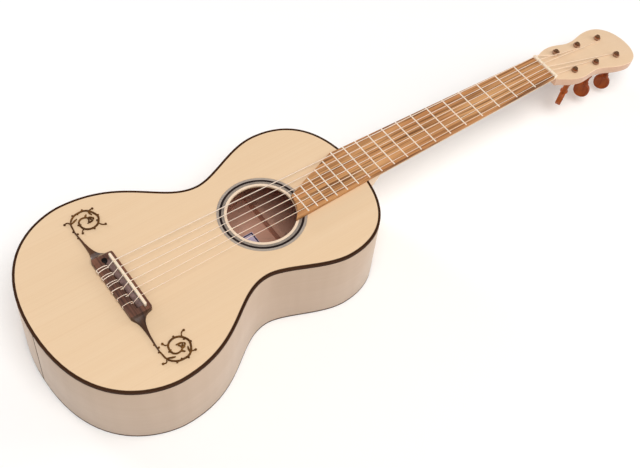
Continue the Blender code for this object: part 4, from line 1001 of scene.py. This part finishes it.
def headHalf(look):
    lower, waist, upper = look["lower"], look["waist"], look["upper"]
    lowerRise, lowerFall = look["lowerHandles"]
    waistRise, waistFall = look["waistHandles"]
    upperRise, upperFall = look["upperHandles"]
    base = neck["nutHalf"]
    foot = (base, 0.0)
    crown = (upper[0] * look["crownShare"], look["length"])
    points = [(base, -look["thickness"]), foot]
    for start, handleA, handleB, end in (
            (foot, (base + look["flare"][0], look["flare"][1]), (lower[0], lower[1] - lowerRise), lower),
            (lower, (lower[0], lower[1] + lowerFall), (waist[0], waist[1] - waistRise), waist),
            (waist, (waist[0], waist[1] + waistFall), (upper[0], upper[1] - upperRise), upper),
            (upper, (upper[0], upper[1] + upperFall), crown, (0, look["length"]))):
        points += curveBetween(start, handleA, handleB, end, look["steps"])
    return points


def pegPlaces():
    # side, x and y on the head of each peg, in the order of the strings
    rows = [(-1, number) for number in range(3)] + [(1, number) for number in (2, 1, 0)]
    return [(side, side * head["pegRow"], head["pegFirst"] + number * head["pegSpacing"])
            for side, number in rows]


def makeHead(look):
    half = headHalf(look)
    loops = [half + [(-x, y) for x, y in reversed(half[:-1])]]
    loops += [circlePoints((x, y), look["hole"], look["holeSteps"]) for _, x, y in pegPlaces()]
    bm = outlineSolid(loops, -look["thickness"], 0.0)
    bmesh.ops.transform(bm, matrix=headTurn, verts=bm.verts)
    joint = neckTurn @ Vector((0, neck["reach"] + neck["nutWidth"] + neck["gap"], 0))
    planeCut(bm, joint, neckTurn.to_3x3() @ Vector((0, -1, 0)))
    bmesh.ops.recalc_face_normals(bm, faces=bm.faces)
    flat = headTurn.inverted()

    def isRim(edge):
        middle = flat @ ((edge.verts[0].co + edge.verts[1].co) / 2)
        outside = all(math.dist((middle.x, middle.y), (x, y)) > look["holeClear"] for _, x, y in pegPlaces())
        return (outside and middle.y > look["nutClear"] and edge.is_manifold
                and edge.calc_face_angle() > math.radians(look["rimAngle"]))
    bevelEdges(bm, [edge for edge in bm.edges if isRim(edge)], look["edge"], look["edgeSteps"])
    upright = headTurn.to_3x3() @ Vector((0, 0, 1))
    bm.normal_update()
    # the side faces take the darker copy of the maple, a painted shade
    paintFaces(bm, lambda face: abs(face.normal.dot(upright)) < look["sideFacing"])
    finishPiece("headPlate", bm, "neckMaple", ["headstock"], angle=40, others=("headSideShade",))


makeNeck(neck)
makeFingerboard(neck)
makeFrets(neck)
finishPiece("nutBone", mergedCopy("nut"), "bone", ["nut"], bevel=neck["nutRound"])
makeHead(head)
print("neck, fingerboard, frets and head made")


# Pegs

pegs = {
    "tip": 0.0065, "tipRadius": 0.0030, "tipFoot": 0.0044, "tipFootRise": 0.0004, "shaft": 0.0036,
    "shaftFit": 0.99, "collar": 0.0056, "button": 0.0112, "buttonHalf": 0.0039, "buttonAt": 0.0470,
    # turned profile, as shares of a radius and heights: the tip's from its end, the collar's and the
    # shaft's from the head's underside, the stem's from where it meets the button
    "tipTurns": ((0.0, -0.0004), (0.30, -0.0004), (0.45, 0.0), (0.80, 0.0), (1.0, -0.0006)),
    "collarTurns": ((1.0, 0.0), (1.08, -0.0016), (0.82, -0.0032)),
    "shaftTurns": ((1.15, -0.0046), (1.15, -0.0086), (1.40, -0.0104), (1.0, -0.0128)),
    "stemTurns": ((1.0, 0.0062), (1.48, 0.0048), (1.48, 0.0020), (0.95, 0.0004)),
    "stemAt": 0.72, "stemFoot": 0.006,
    # the disc's face: shares of its radius and of half its thickness
    "disc": ((0.0, 0.62), (0.40, 0.64), (0.68, 0.80), (0.84, 1.0), (0.97, 0.85), (1.0, 0.30)),
    "turns": (100, 75, 130, 36, 27, 119), "softSteps": 3, "steps": 40, "discSteps": 48,
}


def spinSolid(profile, steps):
    # profile of (radius, height) from axis to axis
    bm = bmesh.new()
    verts = [bm.verts.new((radius, 0, height)) for radius, height in profile]
    edges = [bm.edges.new(pair) for pair in zip(verts, verts[1:])]
    bmesh.ops.spin(bm, geom=verts + edges, cent=(0, 0, 0), axis=(0, 0, 1), angle=math.tau, steps=steps,
                   use_merge=True)
    bmesh.ops.remove_doubles(bm, verts=bm.verts, dist=weld["pole"])
    bmesh.ops.recalc_face_normals(bm, faces=bm.faces)
    return bm


def rounded(profile, steps):
    # softens the inner corners of a turned profile
    points = [profile[0]]
    for before, corner, after in zip(profile, profile[1:], profile[2:]):
        first = tuple((a + 2 * b) / 3 for a, b in zip(before, corner))
        last = tuple((a + 2 * b) / 3 for a, b in zip(after, corner))
        for step in range(steps + 1):
            t = step / steps
            points.append(tuple((1 - t) ** 2 * a + 2 * t * (1 - t) * b + t * t * c
                                for a, b, c in zip(first, corner, last)))
    points.append(profile[-1])
    return points


def pegProfile(look):
    under = -head["thickness"] - neck["gap"]
    stem = -look["buttonAt"] + look["button"] * look["stemAt"]
    profile = [(look["tipRadius"] * share, look["tip"] + rise) for share, rise in look["tipTurns"]]
    inHole = look["shaft"] * look["shaftFit"]
    profile += [(look["tipRadius"], look["tipFoot"] + look["tipFootRise"]), (inHole, look["tipFoot"]),
                (inHole, under)]
    lower = [(look[part] * share, base + rise) for part, turns, base in (
        ("collar", "collarTurns", under), ("shaft", "shaftTurns", under), ("shaft", "stemTurns", stem))
        for share, rise in look[turns]]
    return profile + rounded(lower + [(0, stem - look["stemFoot"])], look["softSteps"])


def makePegs(look):
    profile = pegProfile(look)
    front = [(look["button"] * share, look["buttonHalf"] * rise) for share, rise in look["disc"]]
    disc = rounded(front + [(radius, -rise) for radius, rise in reversed(front)], look["softSteps"])
    for index, (_, x, y) in enumerate(pegPlaces()):
        shaftForm = looseObject("pegShaftForm", spinSolid(profile, look["steps"]))
        discForm = spinSolid(disc, look["discSteps"])
        onEdge = Matrix.Rotation(math.pi / 2, 4, "X")
        turn = Matrix.Rotation(math.radians(look["turns"][index]), 4, "Z") @ onEdge
        bmesh.ops.transform(discForm, matrix=Matrix.Translation((0, 0, -look["buttonAt"])) @ turn,
                            verts=discForm.verts)
        bm = combined(shaftForm, [(looseObject("pegDiscForm", discForm), "UNION")])
        paintFaces(bm, lambda face: face.calc_center_median().z > look["tipFoot"] - neck["gap"])
        bmesh.ops.transform(bm, matrix=headTurn @ Matrix.Translation((x, y, 0)), verts=bm.verts)
        finishPiece(f"pegTurned{index + 1}", bm, "pegWood", [f"peg_{index + 1}"],
                    rides=f"peg_{index + 1}_body", angle=45, others=("pegTip",))


makePegs(pegs)
print("pegs made")


# Bridge, saddle and scrolls

compensation = 0.0010    # the saddle stands this far behind the scale length
saddleY = bodyTop + neck["reach"] - neck["scale"] - compensation
bridge = {
    "front": saddleY + 0.0056, "seat": body["depth"] + 0.0003, "height": 0.0070, "width": 0.0266,
    "saddleHalf": (0.0395, 0.0015), "saddleRise": 0.0042, "saddleSeat": 0.0039, "saddleSteps": 12,
    # distances back from the front edge
    "rampStart": 0.0076, "channelStart": 0.0132, "pitAt": 0.0136, "tieBlock": 0.0153,
    "channelFloor": 0.0018, "channelHalf": 0.0367, "tieHole": 0.0044, "pitRadius": 0.0034,
    # the tie block's rounded top: where it is highest and how much lower its two edges are
    "crown": 0.0200, "frontDrop": 0.0007, "backDrop": 0.0014, "tieSteps": 14,
    # how far the form that cuts it reaches past its edges and above it
    "cutFront": (0.0008, 0.0002), "cutBack": (0.001, 0.0004), "cutAbove": 0.002,
    # where the finishes change, among them the painted shade in the pit and the painted sheen on the ramp,
    # and how far a face may turn from upright
    "blockHalf": 0.0441, "facetHalf": 0.0500, "rampDrop": 0.0003, "pitSlack": 0.0001, "facing": 0.3,
    "blockRound": 0.00015, "saddleRound": 0.0006,
}


def behind(distance):
    return bridge["front"] - distance


def tieTop(distance):
    edge, drop = (bridge["tieBlock"], bridge["frontDrop"])
    if distance > bridge["crown"]:
        edge, drop = (bridge["width"], bridge["backDrop"])
    share = (distance - bridge["crown"]) / (edge - bridge["crown"])
    return bridge["seat"] + bridge["height"] - drop * share ** 2


def tieTopCut(look):
    # fills the space above the rounded top, between the ends of the channel
    steps = look["tieSteps"]
    profile = []
    for step in range(steps + 1):
        distance = look["tieBlock"] + (look["width"] - look["tieBlock"]) * step / steps
        profile.append((behind(distance), tieTop(distance)))
    high = look["seat"] + look["height"] + look["cutAbove"]
    (frontY, frontZ), (backY, backZ) = profile[0], profile[-1]
    ahead, frontDown = look["cutFront"]
    past, backDown = look["cutBack"]
    outline = [(frontY + ahead, high), (frontY + ahead, frontZ - frontDown), *profile,
               (backY - past, backZ - backDown), (backY - past, high)]
    cutter = outlineSolid([outline], -look["channelHalf"], look["channelHalf"])
    onItsSide = Matrix(((0, 0, 1, 0), (1, 0, 0, 0), (0, 1, 0, 0), (0, 0, 0, 1)))    # X to Y, Y to Z, Z to X
    bmesh.ops.transform(cutter, matrix=onItsSide, verts=cutter.verts)
    bmesh.ops.recalc_face_normals(cutter, faces=cutter.faces)
    return cutter


def makeBridge(look):
    form = looseObject("bridgeForm", mergedCopy("bridge"))
    bm = combined(form, [(looseObject("tieTopCut", tieTopCut(look)), "DIFFERENCE")])
    top = look["seat"] + look["height"]
    pit = (-look["channelHalf"], behind(look["pitAt"]))

    # the faces in the pit take the near-black of a painted shade
    def inPitShade(face):
        return all(math.dist(vert.co.xy, pit) < look["pitRadius"] and vert.co.z < top + look["pitSlack"]
                   for vert in face.verts)

    # the faces of the ramp take the paler colour of a painted sheen
    def onRampSheen(face):
        middle = face.calc_center_median()
        return (behind(look["channelStart"]) < middle.y < behind(look["rampStart"])
                and face.normal.z > look["facing"] and abs(middle.x) < look["channelHalf"]
                and middle.z < top - look["rampDrop"])

    def onWing(face):
        return max(abs(vert.co.x) for vert in face.verts) > look["blockHalf"]

    def onBassSlope(face):
        return (onWing(face) and min(abs(vert.co.x) for vert in face.verts) < look["facetHalf"]
                and face.normal.z > look["facing"] and face.calc_center_median().x < 0)
    bm.normal_update()
    for index, test in enumerate((inPitShade, onRampSheen, onWing, onBassSlope), 1):
        paintFaces(bm, test, index)
    finishPiece("bridgeBlock", bm, "bridgeRosewood", ["bridge"], angle=28,
                bevel=look["blockRound"], others=("pitPaintedShade", "rampPaintedSheen", "wingRosewood", "wingFacet"))


def makeSaddle(look):
    half, wide = look["saddleHalf"]
    outline = []
    for centreX, startAngle in ((half - wide, -math.pi / 2), (-half + wide, math.pi / 2)):
        for step in range(look["saddleSteps"] + 1):
            angle = startAngle + math.pi * step / look["saddleSteps"]
            outline.append((centreX + wide * math.cos(angle), saddleY + wide * math.sin(angle)))
    top = look["seat"] + look["height"]
    bm = outlineSolid([outline], top - look["saddleSeat"], top + look["saddleRise"])
    finishPiece("saddleBone", bm, "bone", ["saddle"], angle=50,
                bevel=look["saddleRound"])


makeBridge(bridge)
makeSaddle(bridge)

scroll = {
    "rise": 0.0013, "halfWidth": 0.00100, "taper": (0.85, 0.35), "steps": 5, "lift": 0.000008,
    "hookHalf": 0.00070, "leafTip": 0.0003, "leafHalf": 0.0008, "leafPower": 0.8,
    "ball": 0.0015, "bud": 0.0012,
    # heights of the forms as shares of the rise
    "hookRise": 0.85, "leafRise": 0.9, "ballRise": 1.0, "budRise": 1.05, "lobeRise": 1.15,
    # a strand's section and a dome's profile, as shares of half the width, or the radius, and the rise
    "section": ((1, 0), (1, 0.45), (0.72, 0.82), (0, 1), (-0.72, 0.82), (-1, 0.45), (-1, 0)),
    "dome": ((0, 1), (0.50, 0.94), (0.85, 0.66), (1, 0.30), (1, 0), (0, 0)), "domeSteps": 14,
    # places are distances from the centre line and back from the bridge's front edge
    "vine": (
        (0.0926, 0.0210), (0.0964, 0.0204), (0.1000, 0.0201), (0.1033, 0.0194), (0.1073, 0.0174),
        (0.1106, 0.0139), (0.1130, 0.0095), (0.1137, 0.0044), (0.1134, -0.0016), (0.1103, -0.0067),
        (0.1046, -0.0104), (0.0980, -0.0122), (0.0925, -0.0100), (0.0883, -0.0062), (0.0864, -0.0003),
        (0.0878, 0.0059), (0.0917, 0.0100), (0.0973, 0.0112), (0.1020, 0.0100), (0.1044, 0.0064),
        (0.1042, 0.0022), (0.1022, -0.0010), (0.0990, -0.0010), (0.0962, 0.0006),
    ),
    "lobes": ((0.1010, -0.0018, 0.0012), (0.0988, -0.0034, 0.0013)),
    "hooks": (
        ((0.0900, -0.0084), (0.0867, -0.0094), (0.0844, -0.0117), (0.0838, -0.0142)),
        ((0.0904, 0.0096), (0.0890, 0.0124), (0.0860, 0.0137)),
        ((0.1101, -0.0068), (0.1108, -0.0096), (0.1111, -0.0121)),
        ((0.1036, 0.0192), (0.1066, 0.0206), (0.1079, 0.0227), (0.1070, 0.0254)),
    ),
    "leaves": (
        ((0.1036, 0.0186), (0.1056, 0.0142), (0.1071, 0.0098)),
        ((0.1105, -0.0058), (0.1067, -0.0062), (0.1030, -0.0074)),
        ((0.0990, 0.0136), (0.0979, 0.0121), (0.0972, 0.0093)),
        ((0.1040, 0.0014), (0.1056, -0.0002), (0.1071, -0.0023)),
        ((0.1020, -0.0012), (0.1016, -0.0034), (0.1004, -0.0058)),
        ((0.1004, -0.0050), (0.0988, -0.0064), (0.0968, -0.0064)),
        ((0.0972, -0.0060), (0.0955, -0.0026), (0.0950, 0.0028)),
    ),
    "buds": ((0.0824, 0.0216), (0.0878, 0.0190), (0.0929, 0.0220), (0.1137, 0.0121), (0.1126, 0.0060),
             (0.1152, -0.0010), (0.0996, -0.0132), (0.0933, -0.0086), (0.0847, -0.0006)),
}


def smoothRoute(route, steps):
    padded = [route[0], *route, route[-1]]

    def between(a, b, c, d, t):
        return b + 0.5 * t * (c - a + t * (2 * a - 5 * b + 4 * c - d + t * (3 * (b - c) + d - a)))
    points = []
    for index in range(len(route) - 1):
        corners = padded[index:index + 4]
        for step in range(steps):
            points.append(tuple(between(*values, step / steps) for values in zip(*corners)))
    points.append(route[-1])
    return points


def domedRibbon(route, halves, low, rise):
    # a carved strand with a rounded top that follows a route in XY
    bm = bmesh.new()
    loops = []
    for index, (x, y) in enumerate(route):
        before = route[max(index - 1, 0)]
        after = route[min(index + 1, len(route) - 1)]
        run = Vector((after[0] - before[0], after[1] - before[1])).normalized()
        loops.append(sectionLoop(bm, [
            (x - across * halves[index] * run.y, y + across * halves[index] * run.x, low + up * rise)
            for across, up in scroll["section"]]))
    for first, second in zip(loops, loops[1:]):
        bmesh.ops.bridge_loops(bm, edges=first + second)
    for loop in (loops[0], loops[-1]):
        bmesh.ops.contextual_create(bm, geom=loop)
    bmesh.ops.recalc_face_normals(bm, faces=bm.faces)
    return bm


def dome(x, y, radius, low, rise):
    bm = spinSolid([(radius * out, rise * up) for out, up in scroll["dome"]], scroll["domeSteps"])
    bmesh.ops.translate(bm, verts=bm.verts, vec=(x, y, low))
    return bm


def makeScroll(word, side, look):
    # each form starts a hair higher than the last, so that no two undersides share a plane
    details = []

    def placed(route):
        return [(side * x, behind(distance)) for x, distance in smoothRoute(route, look["steps"])]

    def addForm(shape, *values, rise):
        low = bridge["seat"] + look["lift"] * (len(details) + 1)
        form = shape(*values, low, look["rise"] * look[rise])
        details.append((looseObject("vineDetail", form), "UNION"))
    for hook in look["hooks"]:
        route = placed(hook)
        addForm(domedRibbon, route, [look["hookHalf"]] * len(route), rise="hookRise")
        addForm(dome, *route[-1], look["ball"], rise="ballRise")
    for leaf in look["leaves"]:
        route = placed(leaf)
        last = len(route) - 1
        halves = [look["leafTip"] + look["leafHalf"] * math.sin(math.pi * index / last) ** look["leafPower"]
                  for index in range(last + 1)]
        addForm(domedRibbon, route, halves, rise="leafRise")
    for x, distance, radius in look["lobes"]:
        addForm(dome, side * x, behind(distance), radius, rise="lobeRise")
    for x, distance in look["buds"]:
        addForm(dome, side * x, behind(distance), look["bud"], rise="budRise")
    vine = placed(look["vine"])
    last = len(vine) - 1
    least, more = look["taper"]
    halves = [look["halfWidth"] * (least + more * math.sin(math.pi * index / last))
              for index in range(last + 1)]
    base = looseObject("vineForm", domedRibbon(vine, halves, bridge["seat"], look["rise"]))
    finishPiece("scroll" + word.title(), combined(base, details, False), "scrollWood", ["scroll_" + word],
                angle=45)


makeScroll("bass", -1, scroll)
makeScroll("treble", 1, scroll)
print("bridge, saddle and scrolls made")


# Strings

strings = {
    "radii": (0.00055, 0.00046, 0.00040, 0.00048, 0.00040, 0.00034), "spacingNut": 0.00787,
    "spacingSaddle": 0.01104, "clearance": 0.0003, "windingGap": 0.00045, "wound": 3,
    "knotBend": 0.0008, "knotTail": 0.0030, "turns": 2.25, "stepsPerTurn": 40, "action": 0.0006,
    "edgeSteps": 5, "acrossSteps": 10, "roundness": 4,
}
windingSteps = round(strings["turns"] * strings["stepsPerTurn"])


def stringX(index, spacing):
    return (index - (len(strings["radii"]) - 1) / 2) * spacing


def overEdge(x, edge, top, off, turn):
    # a quarter turn over an edge that runs along X
    points = []
    for step in range(strings["edgeSteps"]):
        angle = math.pi / 2 * step / (strings["edgeSteps"] - 1)
        points.append(Vector((x, edge + turn * off * math.sin(angle), top + off * math.cos(angle))))
    return points


def knotPoints(x, radius, doubled):
    top = bridge["seat"] + bridge["height"]
    off = radius + strings["clearance"]
    under = bridge["seat"] + bridge["channelFloor"] + off
    holeZ = bridge["seat"] + bridge["tieHole"]
    frontEdge = behind(bridge["tieBlock"])
    front = frontEdge + off
    backEdge = behind(bridge["width"])
    near = 2 * radius + strings["windingGap"]
    wide = near + strings["windingGap"]
    bend, tail = strings["knotBend"], strings["knotTail"]
    frontTop, backTop = tieTop(bridge["tieBlock"]), tieTop(bridge["width"])

    def acrossTop(startX, endX, start, end):
        # between the block's two edges, over its rounded top
        places = []
        for step in range(1, strings["acrossSteps"]):
            share = step / strings["acrossSteps"]
            distance = shareBetween(start, end, share)
            x = shareBetween(startX, endX, share)
            places.append(Vector((x, behind(distance), tieTop(distance) + off)))
        return places
    if doubled:
        points = [Vector((x + wide, backEdge - off, top - tail))]
        points += reversed(overEdge(x + wide, backEdge, backTop, off, -1))
        points += acrossTop(x + wide, x + near, bridge["width"], bridge["tieBlock"])
    else:
        points = acrossTop(x + near, x + near, bridge["tieBlock"] + tail, bridge["tieBlock"])
    points += overEdge(x + near, frontEdge, frontTop, off, 1)
    for place in ((x + near, under + bend), (x + near - bend, under), (x - near + bend, under),
                  (x - near, under + bend)):
        points.append(Vector((place[0], front, place[1])))
    points += reversed(overEdge(x - near, frontEdge, frontTop, off, 1))
    points += acrossTop(x - near, x - wide, bridge["tieBlock"], bridge["width"])
    points += overEdge(x - wide, backEdge, backTop, off, -1)
    points += [Vector((x, backEdge - off, holeZ + bend)),
               Vector((x, backEdge - strings["clearance"] / 2, holeZ)), Vector((x, frontEdge, holeZ))]
    return points


def stringPoints(index):
    radius = strings["radii"][index]
    clear = strings["clearance"]
    x = stringX(index, strings["spacingSaddle"])
    points = knotPoints(x, radius, index < strings["wound"])
    saddleTop = bridge["seat"] + bridge["height"] + bridge["saddleRise"] + radius + clear
    for turn in (-1, 1):
        points.append(Vector((x, saddleY + turn * bridge["saddleHalf"][1], saddleTop)))
    nutX = stringX(index, strings["spacingNut"])
    nutZ = neck["gap"] + neck["board"] + neck["fretHeight"] + strings["action"] + radius
    points.append(neckTurn @ Vector((nutX, neck["reach"], nutZ)))
    leaves = neckTurn @ Vector((nutX, neck["reach"] + neck["nutWidth"], nutZ - neck["gap"] / 2))
    points.append(leaves)
    start = headTurn.inverted() @ leaves
    side, pegX, pegY = pegPlaces()[index]
    turnRadius = pegs["shaft"] + clear + radius
    climb = 2 * radius + strings["windingGap"]
    angle = 0.0
    for _ in range(5):    # settles on where the string first touches its winding
        touch = (pegX - side * turnRadius * math.cos(angle), pegY + turnRadius * math.sin(angle))
        angle = math.atan2(side * (touch[0] - start.x), touch[1] - start.y)
    for step in range(windingSteps + 1):
        turned = math.tau * step / strings["stepsPerTurn"]
        reach = angle + turned
        points.append(headTurn @ Vector((pegX - side * turnRadius * math.cos(reach),
                                         pegY + turnRadius * math.sin(reach),
                                         radius + clear + climb * turned / math.tau)))
    return points


def roundCord(points, radius):
    curve = bpy.data.curves.new("stringForm", "CURVE")
    curve.dimensions = "3D"
    curve.bevel_depth = radius
    curve.bevel_resolution = strings["roundness"]
    curve.use_fill_caps = True
    spline = curve.splines.new("POLY")
    spline.points.add(len(points) - 1)
    for target, place in zip(spline.points, points):
        target.co = (*place, 1)
    form = addToScene("stringForm", curve)
    bpy.context.view_layer.update()
    mesh = bpy.data.meshes.new_from_object(form.evaluated_get(bpy.context.evaluated_depsgraph_get()))
    bpy.data.objects.remove(form, do_unlink=True)
    bm = bmesh.new()
    bm.from_mesh(mesh)
    bm.verts.index_update()
    return bm


def makeString(index):
    points = stringPoints(index)
    bm = roundCord(points, strings["radii"][index])
    atHead = len(points) - windingSteps - 2
    # the mesh has the rings of its two end caps first, the far one before the near one
    ringSize = len(bm.verts) // (len(points) + 2)
    rings = [len(points) - 1, 0, *range(len(points))]
    lengths = [0.0]
    for first, second in zip(points, points[1:]):
        lengths.append(lengths[-1] + (second - first).length)
    layer = bm.loops.layers.uv.verify()
    for face in bm.faces:
        spots = [vert.index % ringSize for vert in face.verts]
        wraps = max(spots) - min(spots) > ringSize / 2
        first = rings[min(vert.index for vert in face.verts) // ringSize]
        # the straight run over the head takes the head's finish and the turns round the peg the dark brown
        # of a painted shade
        face.material_index = int(first >= atHead) + int(first > atHead)
        for loop in face.loops:
            spot = loop.vert.index % ringSize
            around = 1.0 if wraps and spot == 0 else spot / ringSize
            loop[layer].uv = (around, lengths[rings[loop.vert.index // ringSize]])
    finish, slot = ("plainString", "plain_string")
    if index < strings["wound"]:
        finish, slot = ("woundString", "wound_string")
    finishPiece(f"stringCord{index + 1}", bm, finish, [f"string_{index + 1}"], angle=60,
                others=("headString", "pegCoilShade"))


for stringIndex in range(len(strings["radii"])):
    makeString(stringIndex)
print("strings made")
